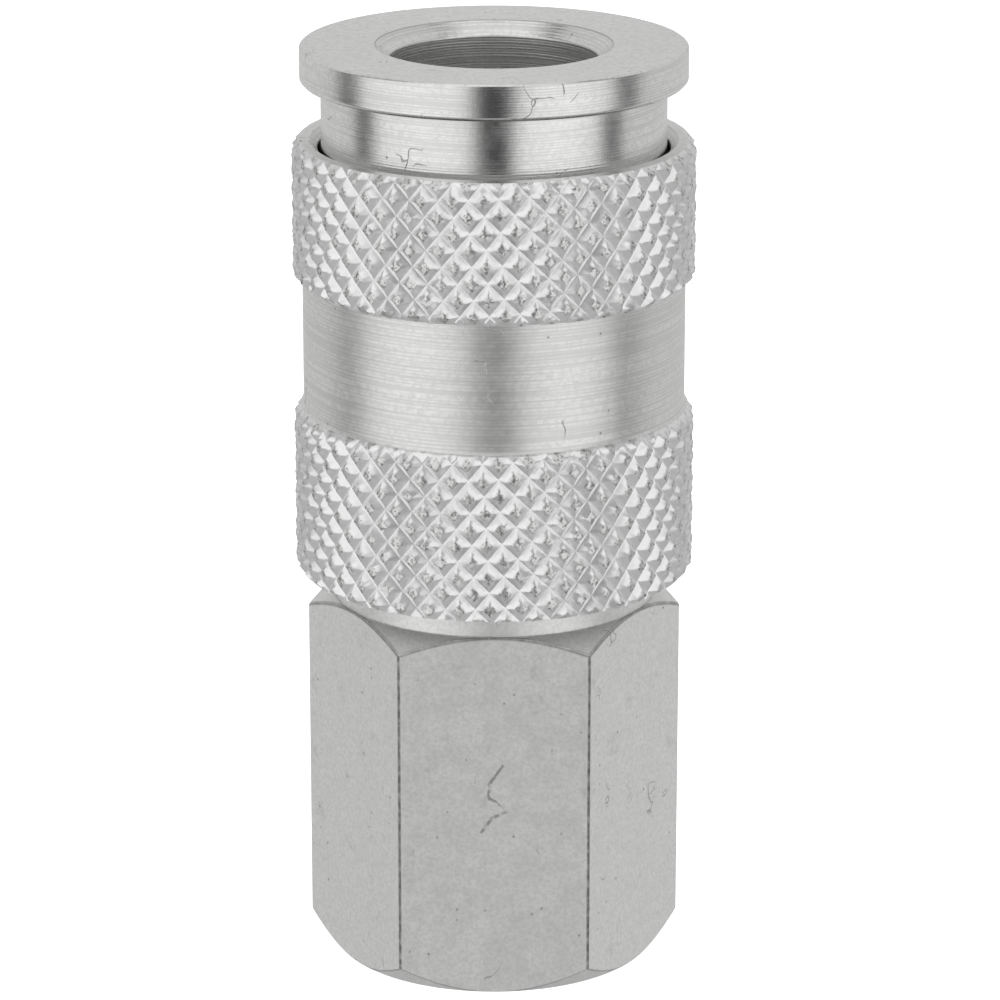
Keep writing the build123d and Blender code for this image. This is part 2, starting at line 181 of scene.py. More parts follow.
# -------------------------------------------------------------------------------------------- finishes


def grey(value: float, alpha: float = 1.0) -> tuple[float, float, float, float]:
    """A neutral colour of one brightness."""
    return value, value, value, alpha


@dataclass(frozen=True)
class Finish:
    """What every finish shares: a name, a colour and how rough it is.

    Lengths are in millimetres and become texture scales in metres.
    """

    name: str
    colour: tuple[float, float, float] = (0.9, 0.9, 0.89)
    roughness: float = 0.3
    metallic: float = 1.0
    anisotropy: float = 0.0
    mottle_size: float = 2.0
    mottle_colour: float = 0.025
    mottle_roughness: float = 0.02

    def build(self) -> bpy.types.Material:
        """Make the material with all of its nodes.

        Returns:
            The new material.
        """
        material = bpy.data.materials.new(self.name)
        material.use_nodes = True
        graph = Graph(material.node_tree)
        place = graph.node("ShaderNodeTexCoord").outputs["Object"]
        shader = graph.node("ShaderNodeBsdfPrincipled")
        shader.inputs["Metallic"].default_value = self.metallic
        shader.inputs["Anisotropic"].default_value = self.anisotropy
        if self.anisotropy:
            tangent = graph.node("ShaderNodeTangent", direction_type="RADIAL", axis="Z")
            graph.feed(shader.inputs["Tangent"], tangent.outputs[0])
        colour, roughness, normal = self.surface(graph, place)
        graph.feed(shader.inputs["Base Color"], colour)
        graph.feed(shader.inputs["Roughness"], roughness)
        if normal is not None:
            graph.feed(shader.inputs["Normal"], normal)
        output = graph.node("ShaderNodeOutputMaterial")
        graph.feed(output.inputs["Surface"], shader.outputs[0])
        return material

    def mottling(self, graph: Graph, place: Socket) -> Socket:
        """Soft, uneven clouding over the surface, between 0 and 1."""
        cloud = graph.noise(place, 1 / (self.mottle_size * MM), detail=5.0, roughness=0.65)
        return graph.remap(cloud, 0.3, 0.7, 0.0, 1.0)

    def tint(self, graph: Graph, cloud: Socket) -> Socket:
        """The finish's colour, a little darker where the clouding is."""
        dark = tuple(c * (1 - self.mottle_colour) for c in self.colour)
        light = tuple(min(1.0, c * (1 + self.mottle_colour)) for c in self.colour)
        return graph.mix(cloud, (*dark, 1.0), (*light, 1.0))

    def polish(self, graph: Graph, cloud: Socket) -> Socket:
        """The finish's roughness, a little uneven with the clouding."""
        low, high = self.roughness - self.mottle_roughness, self.roughness + self.mottle_roughness
        return graph.remap(cloud, 0.0, 1.0, low, high)

    def shade(self, share: float) -> tuple[float, float, float, float]:
        """The finish's colour at a share of its brightness."""
        return (*(c * share for c in self.colour), 1.0)

    def surface(self, graph: Graph, place: Socket) -> tuple[Socket, Socket, Socket | None]:
        """Colour, roughness and bump of the finish.

        Args:
            graph: the tree to build in.
            place: the object's own coordinates.

        Returns:
            The sockets for colour, roughness and normal; no normal leaves the surface smooth.
        """
        cloud = self.mottling(graph, place)
        return self.tint(graph, cloud), self.polish(graph, cloud), None


@dataclass(frozen=True)
class TurnedSteel(Finish):
    """Plated steel off the lathe: fine rings round the axis, a few scratches and small dark nicks, with a
    painted shade line round a bore's entry rim.
    """

    anisotropy: float = 0.45
    ring_pitch: float = 0.16
    ring_depth: float = 0.014
    ring_colour: float = 0.09
    scratch_share: float = 0.75
    grain_colour: float = 0.16
    bore_radius: float = 0.0
    bore_roughness: float = 0.2
    rim_radius: float = 6.8
    ring_mask: str = ""

    def rings(self, graph: Graph, place: Socket) -> Socket:
        """The height of the turned rings, between 0 and 1, nearly the same all the way round."""
        x, y, z = graph.split(place)
        slow = 0.012 / (self.ring_pitch * MM)
        fast = 1.0 / (self.ring_pitch * MM)
        stretched = graph.join(
            graph.maths("MULTIPLY", x, slow),
            graph.maths("MULTIPLY", y, slow),
            graph.maths("MULTIPLY", z, fast),
        )
        radial = graph.axis_distance(place)
        faces = graph.join(graph.maths("MULTIPLY", radial, fast), graph.maths("MULTIPLY", z, slow), 0.0)
        wide = graph.noise(faces, 1.0, detail=2.0)
        weak = graph.maths("MULTIPLY", graph.maths("SUBTRACT", wide, RING_LEVEL), 0.35)
        across = graph.maths("ADD", weak, RING_LEVEL)
        uneven = graph.noise(stretched, 1.3, detail=1.0)
        feed = graph.maths("SINE", graph.maths("MULTIPLY", z, TURN / (self.ring_pitch * MM)))
        along = graph.maths("ADD", uneven, graph.maths("MULTIPLY", feed, 0.12))
        normal = graph.node("ShaderNodeNewGeometry").outputs["Normal"]
        upward = graph.maths("ABSOLUTE", graph.split(normal)[2])
        flat_face = graph.maths("GREATER_THAN", upward, 0.9)
        made = graph.node("ShaderNodeMix", {"Factor": flat_face}, data_type="FLOAT")
        graph.feed(made.inputs[2], along)
        graph.feed(made.inputs[3], across)
        return made.outputs[0]

    def surface(self, graph: Graph, place: Socket) -> tuple[Socket, Socket, Socket | None]:
        """Rings, clouding, scratches, nicks and, round a bore, a painted shade line at its rim; see
        Finish.surface.
        """
        cloud = self.mottling(graph, place)
        rings = self.rings(graph, place)
        turned = None
        if self.ring_mask:
            turned = graph.node("ShaderNodeAttribute", attribute_name=self.ring_mask).outputs["Fac"]
        scratches = scratch_mask(graph, place, length=2.5, width=0.05, share=self.scratch_share)
        marks = graph.maths("MAXIMUM", scratches, nick_mask(graph, place, size=0.5, share=0.05))
        if turned is not None:
            marks = graph.maths("MULTIPLY", marks, turned)
            swing = graph.maths("MULTIPLY", graph.maths("SUBTRACT", rings, RING_LEVEL), turned)
            rings = graph.maths("ADD", swing, RING_LEVEL)
        grain = graph.noise(place, 1 / (0.3 * MM), detail=5.0, roughness=0.7)
        grained = graph.remap(grain, 0.35, 0.6, 1.0, 0.0)
        base = graph.mix(grained, self.tint(graph, cloud), self.shade(1 - self.grain_colour))
        ringed = graph.remap(rings, 0.35, 0.6, 1.0, 0.0)
        toned = graph.mix(ringed, base, self.shade(1 - 2 * self.ring_colour))
        colour = graph.mix(graph.maths("MULTIPLY", marks, 0.6), toned, grey(0.12))
        rough = graph.maths("ADD", self.polish(graph, cloud), graph.maths("MULTIPLY", marks, 0.2), clamp=True)
        if self.bore_radius:
            inside = graph.maths("LESS_THAN", graph.axis_distance(place), self.bore_radius * MM)
            rough = graph.maths("ADD", rough, graph.maths("MULTIPLY", inside, self.bore_roughness))
        height = graph.maths("MULTIPLY", rings, self.ring_depth * MM)
        height = graph.maths("ADD", height, graph.maths("MULTIPLY", grain, 0.003 * MM))
        height = graph.maths("SUBTRACT", height, graph.maths("MULTIPLY", marks, 0.012 * MM))
        # painted shade: a thin dark line round the entry chamfer's outer rim, at rim_radius
        if self.bore_radius:
            away = graph.maths("SUBTRACT", graph.axis_distance(place), self.rim_radius * MM)
            rim_shade = graph.remap(graph.maths("ABSOLUTE", away), 0.02 * MM, 0.08 * MM, 0.45, 0.0)
            colour = graph.mix(rim_shade, colour, grey(0.15))
        # knurling's tone, with painted highlights along its grooves
        if turned is not None:
            colour = self.knurl_tone(graph, place, colour, turned)
        return colour, rough, graph.bump(height)

    def knurl_tone(self, graph: Graph, place: Socket, colour: Socket, turned: Socket) -> Socket:
        """The tone and painted highlights of any knurling on the piece; plain turned work has none."""
        return colour


@dataclass(frozen=True)
class KnurlPattern:
    """The two families of grooves that cross to make the diamonds.

    Each family has a whole number of grooves round the sleeve, and meets so many of them for each
    millimetre of height. One crossing of two grooves is the pattern's origin.
    """

    left_grooves: int = 39
    right_grooves: int = 43
    left_per_mm: float = 0.5545
    right_per_mm: float = 0.494
    origin_angle: float = math.radians(1.9)
    origin_height: float = 46.19

    @property
    def cells_per_mm(self) -> float:
        """How many diamonds one millimetre of the sleeve's length holds, all the way round."""
        return self.left_grooves * self.right_per_mm + self.right_grooves * self.left_per_mm

    def place(self, left: float, right: float) -> tuple[float, float]:
        """The angle and height where a left and a right groove number meet."""
        turned = TURN * (self.right_per_mm * left + self.left_per_mm * right) / self.cells_per_mm
        climbed = (self.right_grooves * left - self.left_grooves * right) / self.cells_per_mm
        return self.origin_angle + turned, self.origin_height + climbed

    def inputs(self) -> dict[str, float]:
        """The pattern's numbers by name, in metres and radians."""
        return {
            "Left Grooves": self.left_grooves,
            "Right Grooves": self.right_grooves,
            "Left Rise": self.left_per_mm / MM,
            "Right Rise": self.right_per_mm / MM,
            "Origin Angle": self.origin_angle,
            "Origin Height": self.origin_height * MM,
        }


def groove_distance(graph: Graph, angle: Socket, height: Socket, inputs: dict[str, object]) -> Socket:
    """How far a point is from the nearest groove: 0 in a groove and 1 at a diamond's middle.

    Args:
        graph: the tree to build in.
        angle: the point's angle round the axis.
        height: its height in metres.
        inputs: the pattern's numbers or sockets, by KnurlPattern.inputs' names.

    Returns:
        The distance's socket.
    """
    turned = graph.maths("SUBTRACT", angle, inputs["Origin Angle"])
    climbed = graph.maths("SUBTRACT", height, inputs["Origin Height"])
    walls = []
    for side, sign in (("Left", 1.0), ("Right", -1.0)):
        round_part = graph.maths("MULTIPLY", turned, graph.maths("DIVIDE", inputs[f"{side} Grooves"], TURN))
        up_part = graph.maths("MULTIPLY", climbed, graph.maths("MULTIPLY", inputs[f"{side} Rise"], sign))
        walls.append(graph.maths("PINGPONG", graph.maths("ADD", round_part, up_part), 0.5))
    return graph.maths("MULTIPLY", graph.maths("MINIMUM", *walls), 2.0)


@dataclass(frozen=True)
class KnurledSteel(TurnedSteel):
    """Turned steel whose knurling has painted highlights along its groove lines, whitened facets and dull,
    speckled crests.
    """

    pattern: KnurlPattern = field(default_factory=KnurlPattern)
    crest_start: float = 0.56
    crest_tone: float = 0.84

    def knurl_tone(self, graph: Graph, place: Socket, colour: Socket, turned: Socket) -> Socket:
        """Paint highlights along the grooves, whiten the facets and dull the crests; see
        TurnedSteel.knurl_tone.
        """
        height = graph.split(place)[2]
        nearest = groove_distance(graph, graph.axis_angle(place), height, self.pattern.inputs())
        knurled = graph.maths("SUBTRACT", 1.0, turned)
        # painted highlight: a thin bright line along the rounded root of each groove
        root = graph.maths("MULTIPLY", graph.remap(nearest, 0.03, 0.14, 1.0, 0.0), knurled)
        crest = graph.remap(nearest, self.crest_start - 0.05, self.crest_start + 0.04, 0.0, 1.0)
        crest = graph.maths("MULTIPLY", crest, knurled)
        specks = graph.noise(place, 1 / (0.16 * MM), detail=2.0)
        speckled = graph.maths("MULTIPLY", crest, graph.remap(specks, 0.5, 0.66, 0.0, 0.75))
        facets = graph.mix(graph.maths("MULTIPLY", knurled, 0.75), colour, grey(1.0))
        highlighted = graph.mix(graph.maths("MULTIPLY", root, 0.85), facets, grey(1.0))
        worn = graph.mix(graph.maths("MULTIPLY", crest, 0.8), highlighted, self.shade(self.crest_tone))
        return graph.mix(speckled, worn, grey(0.2))


@dataclass(frozen=True)
class HexShade:
    """Painted shade on the hexagon: dark lines along its corners and front arcs, and darker tones on its
    upward-facing front cone and downward-facing rear bevel.
    """

    apothem: float = 9.525
    length: float = 21.9
    top_angle: float = math.radians(37)
    corner_width: float = 0.16
    arc_width: float = 0.1
    cone_tone: float = 0.45
    bevel_tone: float = 0.4

    def mask(self, graph: Graph, place: Socket) -> Socket:
        """How much painted shade each point gets, from 0, none, to 1."""
        z = graph.split(place)[2]
        radius = graph.axis_distance(place)
        folded = graph.maths("PINGPONG", graph.axis_angle(place), math.pi / 6)
        along = graph.maths("MULTIPLY", radius, graph.maths("SINE", folded))
        out = graph.maths("MULTIPLY", radius, graph.maths("COSINE", folded))
        edge = self.apothem * math.tan(math.pi / 6) * MM
        width = self.corner_width * MM
        # painted shade: dark lines along the rounded corners and, below, along the front arcs
        corner = graph.remap(along, edge - width, edge - 0.4 * width, 0.0, 0.9)
        past_flat = graph.maths("SUBTRACT", radius, self.apothem * MM)
        slope = graph.maths("MULTIPLY", past_flat, math.tan(self.top_angle))
        above = graph.maths("SUBTRACT", graph.maths("ADD", z, slope), self.length * MM)
        arc = graph.remap(above, -2 * self.arc_width * MM, -0.6 * self.arc_width * MM, 0.0, 0.7)
        upward = graph.split(graph.node("ShaderNodeNewGeometry").outputs["Normal"])[2]
        flat = graph.maths("LESS_THAN", graph.maths("ABSOLUTE", upward), 0.4)
        lines = graph.maths("MULTIPLY", graph.maths("MAXIMUM", corner, arc), flat)
        # painted shade: the front cone and rear bevel are darkened by which way they face
        cone = graph.maths("MULTIPLY", graph.maths("GREATER_THAN", upward, 0.4), self.cone_tone)
        bevel = graph.maths("MULTIPLY", graph.maths("LESS_THAN", upward, -0.4), self.bevel_tone)
        worn = graph.maths("MAXIMUM", lines, graph.maths("MAXIMUM", cone, bevel))
        outside = graph.maths("GREATER_THAN", out, (self.apothem - 0.12) * MM)
        below = graph.maths("LESS_THAN", z, (self.length + 0.1) * MM)
        broken = graph.remap(graph.noise(place, 1 / (0.5 * MM)), 0.3, 0.65, 0.65, 1.0)
        shown = graph.maths("MULTIPLY", graph.maths("MULTIPLY", worn, outside), below)
        return graph.maths("MULTIPLY", shown, broken)


@dataclass(frozen=True)
class RubMark:
    """A dark, crooked rub on the hexagon's front face, as points of (x, height)."""

    points: tuple[Point, ...] = (
        (0.5, 14.1),
        (-0.3, 12.9),
        (-0.2, 12.1),
        (0.75, 11.3),
        (-0.1, 10.9),
        (-0.75, 10.0),
    )
    half_width: float = 0.09

    def mask(self, graph: Graph, place: Socket) -> Socket:
        """The mark, 1 on its line and 0 off it, broken up by noise."""
        x, y, z = graph.split(place)
        wobble = graph.node("ShaderNodeTexNoise", {"Vector": place, "Scale": 1 / (0.5 * MM), "Detail": 3.0})
        drift = graph.maths("MULTIPLY", graph.maths("SUBTRACT", wobble.outputs[0], 0.5), 0.5 * MM)
        spot = graph.join(graph.maths("ADD", x, drift), 0.0, graph.maths("ADD", z, drift))
        nearest: object = 1.0
        for (x0, z0), (x1, z1) in zip(self.points, self.points[1:]):
            start, along = Vector((x0, 0, z0)) * MM, Vector((x1 - x0, 0, z1 - z0)) * MM
            away = graph.vectors("SUBTRACT", spot, start).outputs[0]
            dot = graph.vectors("DOT_PRODUCT", away, along).outputs["Value"]
            share = graph.maths("DIVIDE", dot, along.length_squared, clamp=True)
            scale = {0: along, "Scale": share}
            scaled = graph.node("ShaderNodeVectorMath", scale, operation="SCALE").outputs[0]
            gap = graph.vectors("DISTANCE", away, scaled).outputs["Value"]
            nearest = graph.maths("MINIMUM", gap, nearest)
        line = graph.remap(nearest, 0.4 * self.half_width * MM, 1.6 * self.half_width * MM, 1.0, 0.0)
        front = graph.maths("LESS_THAN", y, 0.0)
        breaks = graph.remap(graph.noise(place, 1 / (0.35 * MM)), 0.35, 0.55, 0.2, 1.0)
        return graph.maths("MULTIPLY", graph.maths("MULTIPLY", line, front), breaks)


@dataclass(frozen=True)
class DrawnSteel(Finish):
    """Plated drawn bar: a matt, finely mottled skin with speckles, rub marks and hair-fine scratches."""

    grain_size: float = 0.22
    grain_depth: float = 0.006
    speckle_share: float = 0.1
    hex_shade: HexShade = field(default_factory=HexShade)
    rub: RubMark = field(default_factory=RubMark)

    def surface(self, graph: Graph, place: Socket) -> tuple[Socket, Socket, Socket | None]:
        """Grain, clouding, speckles and scratches, with painted shade on the hexagon; see Finish.surface."""
        cloud = self.mottling(graph, place)
        grain = graph.noise(place, 1 / (self.grain_size * MM), detail=6.0, roughness=0.7)
        speckles = nick_mask(graph, place, size=0.55, share=self.speckle_share)
        scratches = scratch_mask(graph, place, length=2.2, width=0.07, share=0.55)
        flecks = graph.maths("MAXIMUM", speckles, scratches)
        marks = graph.maths("MAXIMUM", flecks, self.rub.mask(graph, place))
        base = self.tint(graph, cloud)
        fine = graph.mix(graph.remap(grain, 0.36, 0.62, 1.0, 0.0), base, self.shade(0.88))
        blots = graph.noise(place, 1 / (1.6 * MM), detail=6.0, roughness=0.75)
        stain = graph.remap(blots, 0.56, 0.7, 0.0, 0.16)
        stained = graph.mix(stain, fine, grey(0.2))
        # painted shade over the hexagon's corners, front arcs, front cone and rear bevel
        hex_shaded = graph.mix(self.hex_shade.mask(graph, place), stained, grey(0.08))
        colour = graph.mix(graph.maths("MULTIPLY", marks, 0.6), hex_shaded, grey(0.16))
        rough = self.polish(graph, cloud)
        height = graph.maths("MULTIPLY", grain, self.grain_depth * MM)
        height = graph.maths("SUBTRACT", height, graph.maths("MULTIPLY", marks, 0.01 * MM))
        return colour, rough, graph.bump(height)


@dataclass(frozen=True)
class SoftSheet(Finish):
    """Moulded rubber or cut gasket sheet, with a fine pore to its skin."""

    metallic: float = 0.0
    pore_size: float = 0.25
    pore_depth: float = 0.01

    def surface(self, graph: Graph, place: Socket) -> tuple[Socket, Socket, Socket | None]:
        """Clouding and pores; see Finish.surface."""
        cloud = self.mottling(graph, place)
        pores = graph.noise(place, 1 / (self.pore_size * MM), detail=4.0, roughness=0.6)
        rough = self.polish(graph, cloud)
        height = graph.maths("MULTIPLY", pores, self.pore_depth * MM)
        return self.tint(graph, cloud), rough, graph.bump(height)


def scratch_mask(graph: Graph, place: Socket, length: float, width: float, share: float) -> Socket:
    """Hair-fine scratches in scattered patches, 1 on a scratch and 0 off it.

    Args:
        graph: the tree to build in.
        place: the object's own coordinates.
        length: how long a scratch runs.
        width: how wide it is.
        share: from 0, none, to 1, many.

    Returns:
        The mask's socket.
    """
    drift = graph.node("ShaderNodeTexNoise", {"Vector": place, "Scale": 1 / (length * MM), "Detail": 2.0})
    bent = graph.vectors("MULTIPLY", drift.outputs["Color"], (4 * MM, 4 * MM, 4 * MM)).outputs[0]
    moved = graph.vectors("ADD", place, bent).outputs[0]
    cells = graph.node(
        "ShaderNodeTexVoronoi",
        {"Vector": moved, "Scale": 1 / (length * MM)},
        feature="DISTANCE_TO_EDGE",
    )
    line = graph.remap(cells.outputs["Distance"], 0.0, width / length, 1.0, 0.0)
    patches = graph.noise(place, 0.8 / (length * MM), detail=1.0)
    edge = 0.78 - 0.2 * share
    return graph.maths("MULTIPLY", line, graph.remap(patches, edge, edge + 0.05, 0.0, 1.0))


def nick_mask(graph: Graph, place: Socket, size: float, share: float) -> Socket:
    """Small round nicks and specks in a few cells of a scattered pattern, 1 in a nick and 0 outside."""
    cells = graph.node("ShaderNodeTexVoronoi", {"Vector": place, "Scale": 1 / (size * MM)})
    chosen = graph.maths("LESS_THAN", graph.split(cells.outputs["Color"])[0], share)
    spot = graph.remap(cells.outputs["Distance"], 0.05, 0.22, 1.0, 0.0)
    return graph.maths("MULTIPLY", spot, chosen)


@dataclass
class FinishSet:
    """Every finish on the coupler, each made once."""

    nose: bpy.types.Material = field(init=False)
    sleeve: bpy.types.Material = field(init=False)
    adapter: bpy.types.Material = field(init=False)
    inner: bpy.types.Material = field(init=False)
    ball: bpy.types.Material = field(init=False)
    wire: bpy.types.Material = field(init=False)
    brass: bpy.types.Material = field(init=False)
    rubber: bpy.types.Material = field(init=False)
    gasket: bpy.types.Material = field(init=False)

    def __post_init__(self) -> None:
        """Build the materials."""
        self.nose = TurnedSteel(
            "plated_nose_steel", roughness=0.21, ring_pitch=0.16, bore_radius=6.03
        ).build()
        self.sleeve = KnurledSteel(
            "plated_sleeve_steel", roughness=0.33, ring_pitch=0.2, ring_mask="turned"
        ).build()
        self.adapter = DrawnSteel(
            "plated_hex_steel", colour=(0.95, 0.95, 0.94), roughness=0.5, mottle_size=1.1
        ).build()
        self.inner = TurnedSteel("plain_inner_steel", colour=(0.66, 0.66, 0.65), roughness=0.3).build()
        self.ball = Finish("polished_ball_steel", roughness=0.1, mottle_roughness=0.03).build()
        self.wire = TurnedSteel(
            "drawn_spring_wire", colour=(0.55, 0.55, 0.55), roughness=0.32, ring_depth=0.002, anisotropy=0.0
        ).build()
        self.brass = TurnedSteel("turned_brass", colour=(0.78, 0.58, 0.27), roughness=0.28).build()
        self.rubber = SoftSheet("moulded_seal_rubber", colour=(0.02, 0.02, 0.021), roughness=0.55).build()
        self.gasket = SoftSheet("cut_gasket_sheet", colour=(0.7, 0.68, 0.62), roughness=0.6).build()


# -------------------------------------------------------------------------------------- mesh helpers


@dataclass(frozen=True)
class Corner:
    """One corner of a turned outline: its radius, its height and how far it is rounded."""

    radius: float
    height: float
    rounding: float = 0.0


def rounded(corners: Sequence[Corner], closed: bool = True, arc_steps: int | None = None) -> list[Point]:
    """Replace each rounded corner by an arc, with a support point just past each of its ends.

    Args:
        corners: the outline's corners in order.
        closed: whether the last corner joins the first.
        arc_steps: how many steps every arc has; without it a wider turn has more.

    Returns:
        The outline's points as (radius, height).
    """
    points: list[Point] = []
    count = len(corners)
    for index, corner in enumerate(corners):
        here = Vector((corner.radius, corner.height))
        at_end = not closed and index in (0, count - 1)
        if corner.rounding <= 0 or at_end:
            points.append((here.x, here.y))
            continue
        before, after = corners[index - 1], corners[(index + 1) % count]
        back = Vector((before.radius, before.height)) - here
        ahead = Vector((after.radius, after.height)) - here
        points.extend(corner_arc(here, back, ahead, corner.rounding, arc_steps))
    return points


def corner_arc(
    here: Vector, back: Vector, ahead: Vector, rounding: float, arc_steps: int | None
) -> list[Point]:
    """The arc that rounds one corner, with its support points.

    Args:
        here: the corner.
        back: from the corner to the one before.
        ahead: from the corner to the next one.
        rounding: the arc's radius, limited by the two sides.
        arc_steps: how many steps the arc has, or None to choose by the turn.

    Returns:
        The arc's points in order.
    """
    turn = math.pi - back.angle(ahead)
    if turn < 1e-4:
        return [(here.x, here.y)]
    reach = min(rounding * math.tan(turn / 2), 0.45 * back.length, 0.45 * ahead.length)
    radius = reach / math.tan(turn / 2)
    first, last = here + back.normalized() * reach, here + ahead.normalized() * reach
    inward = (back.normalized() + ahead.normalized()).normalized()
    centre = here + inward * (radius / math.cos(turn / 2))
    steps = arc_steps or max(2, math.ceil(turn / FINE_ARC))
    start = first - centre
    side = 1 if start.x * (last - centre).y - start.y * (last - centre).x > 0 else -1
    arc = []
    for step in range(steps + 1):
        angle = side * turn * step / steps
        cosine, sine = math.cos(angle), math.sin(angle)
        across = centre.x + start.x * cosine - start.y * sine
        arc.append((across, centre.y + start.x * sine + start.y * cosine))
    support = 0.25 * reach
    lead = first + back.normalized() * support
    trail = last + ahead.normalized() * support
    return [(lead.x, lead.y), *arc, (trail.x, trail.y)]


def on_lathe(radius: float, angle: float, height: float) -> Vector:
    """A point in metres from a radius, an angle round the axis and a height."""
    return Vector((radius * math.sin(angle), -radius * math.cos(angle), height)) * MM


def spin_outline(mesh: bmesh.types.BMesh, outline: Sequence[Point], closed: bool) -> list[Ring]:
    """Sweep an outline round the axis.

    Args:
        mesh: the mesh to add to.
        outline: the points as (radius, height).
        closed: whether the last point joins the first.

    Returns:
        One ring of vertices for each point of the outline.
    """
    rings = [
        [mesh.verts.new(on_lathe(r, TURN * k / LATHE_SEGMENTS, z)) for k in range(LATHE_SEGMENTS)]
        for r, z in outline
    ]
    pairs = list(zip(rings, rings[1:]))
    if closed:
        pairs.append((rings[-1], rings[0]))
    for low, high in pairs:
        for k in range(LATHE_SEGMENTS):
            after = (k + 1) % LATHE_SEGMENTS
            mesh.faces.new((low[k], low[after], high[after], high[k]))
    return rings


def zip_rings(mesh: bmesh.types.BMesh, one: Ring, other: Ring) -> None:
    """Join two rings that have different numbers of vertices with a strip of triangles."""
    one, other = sorted(one, key=round_angle), sorted(other, key=round_angle)
    i = j = 0
    while i < len(one) or j < len(other):
        a, b = one[i % len(one)], other[j % len(other)]
        if angle_after(one, i) <= angle_after(other, j):
            mesh.faces.new((a, one[(i + 1) % len(one)], b))
            i += 1
        else:
            mesh.faces.new((a, other[(j + 1) % len(other)], b))
            j += 1


def angle_after(ring: Ring, index: int) -> float:
    """The angle of the vertex after this one: a full turn past the last, and no end past that."""
    if index + 1 < len(ring):
        return round_angle(ring[index + 1])
    return TURN if index + 1 == len(ring) else math.inf


def round_angle(vertex: bmesh.types.BMVert) -> float:
    """A vertex's angle round the axis, from 0 to a full turn."""
    return math.atan2(vertex.co.x, -vertex.co.y) % TURN


def finish_mesh(mesh: bmesh.types.BMesh, name: str, sharp: float = 35.0) -> bpy.types.Object:
    """Merge doubles, face everything outwards, and put the mesh in an object at the origin.

    Args:
        mesh: the mesh, which is freed.
        name: the piece's name.
        sharp: the angle in degrees past which an edge stays crisp.

    Returns:
        The new object.
    """
    bmesh.ops.remove_doubles(mesh, verts=mesh.verts, dist=1e-7)
    bmesh.ops.dissolve_degenerate(mesh, edges=mesh.edges, dist=1e-7)
    bmesh.ops.recalc_face_normals(mesh, faces=mesh.faces)
    data = bpy.data.meshes.new(name)
    mesh.to_mesh(data)
    mesh.free()
    piece = bpy.data.objects.new(name, data)
    bpy.context.scene.collection.objects.link(piece)
    smooth(piece, sharp)
    return piece


def smooth(piece: bpy.types.Object, sharp: float) -> None:
    """Shade a piece smooth, with crisp edges past an angle in degrees."""
    piece.data.shade_smooth()
    piece.data.set_sharp_from_angle(angle=math.radians(sharp))


def lathe(name: str, corners: Sequence[Corner]) -> bpy.types.Object:
    """Turn a closed outline into a solid ring or bar."""
    mesh = bmesh.new()
    spin_outline(mesh, rounded(corners), closed=True)
    return finish_mesh(mesh, name)


def bake_modifiers(piece: bpy.types.Object) -> None:
    """Turn a piece and its modifiers into a plain mesh."""
    graph = bpy.context.evaluated_depsgraph_get()
    data = bpy.data.meshes.new_from_object(
        piece.evaluated_get(graph), preserve_all_data_layers=True, depsgraph=graph
    )
    old = piece.data
    piece.modifiers.clear()
    piece.data = data
    data.name = piece.name
    bpy.data.meshes.remove(old)


class Cut(Enum):
    """What a boolean does with its tool."""

    AWAY = "DIFFERENCE"
    JOIN = "UNION"


def combine(piece: bpy.types.Object, tool: bpy.types.Object, cut: Cut) -> None:
    """Cut a tool's shape from a piece or join it on, and throw the tool away."""
    modifier = piece.modifiers.new("combine", "BOOLEAN")
    modifier.operation = cut.value
    modifier.solver = "EXACT"
    modifier.object = tool
    bake_modifiers(piece)
    bpy.data.objects.remove(tool)


def dress(
    piece: bpy.types.Object,
    material: bpy.types.Material,
    body: str | None,
    stands_for: Iterable[str] = (),
) -> bpy.types.Object:
    """body: the body it rides on, or None to leave it unattached.
        stands_for: the CAD nodes that it replaces.

    Returns:
        The same piece.
    """
    piece.data.materials.clear()
    piece.data.materials.append(material)
    if body is not None:
        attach(piece, body)
    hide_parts(*stands_for)
    LOG.info("%s: %d faces, rides on %s", piece.name, len(piece.data.polygons), body or "two bodies")
    return piece


@cache
def cad_span(node: str) -> tuple[float, float]:
    """The lowest and highest height of a CAD node, in millimetres."""
    low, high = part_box(node)
    return low.z / MM, high.z / MM


@cache
def cad_radius(node: str) -> float:
    """The outer radius of a turned CAD node, in millimetres."""
    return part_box(node)[1].y / MM


# ---------------------------------------------------------------------------- geometry-node surfaces


class GeometryTree:
    """One geometry-node tree with named inputs, run on a piece and turned into plain mesh."""

    def __init__(self, title: str, values: dict[str, float]) -> None:
        """Start a tree.

        Args:
            title: the tree's name.
            values: the inputs' values by name, with lengths in metres.
        """
        tree = bpy.data.node_groups.new(title, "GeometryNodeTree")
        face = tree.interface
        for way in ("INPUT", "OUTPUT"):
            face.new_socket("Geometry", in_out=way, socket_type="NodeSocketGeometry")
        self.named = {n: face.new_socket(n, in_out="INPUT", socket_type="NodeSocketFloat") for n in values}
        self.values = values
        self.graph = Graph(tree)
        self.inputs = self.graph.node("NodeGroupInput").outputs

    def run(self, piece: bpy.types.Object, shape: Socket, material: bpy.types.Material) -> None:
        """End the tree with a shape and its finish, and run it.

        Args:
            piece: the object whose mesh it makes.
            shape: the geometry to keep.
            material: the finish.
        """
        solid = self.graph.node("GeometryNodeRealizeInstances", {0: shape}).outputs[0]
        dressed = self.graph.node("GeometryNodeSetMaterial", {"Geometry": solid, "Material": material})
        self.graph.node("NodeGroupOutput", {0: dressed.outputs[0]})
        modifier = piece.modifiers.new(self.graph.tree.name, "NODES")
        modifier.node_group = self.graph.tree
        for name, socket in self.named.items():
            modifier[socket.identifier] = float(self.values[name])
        bake_modifiers(piece)


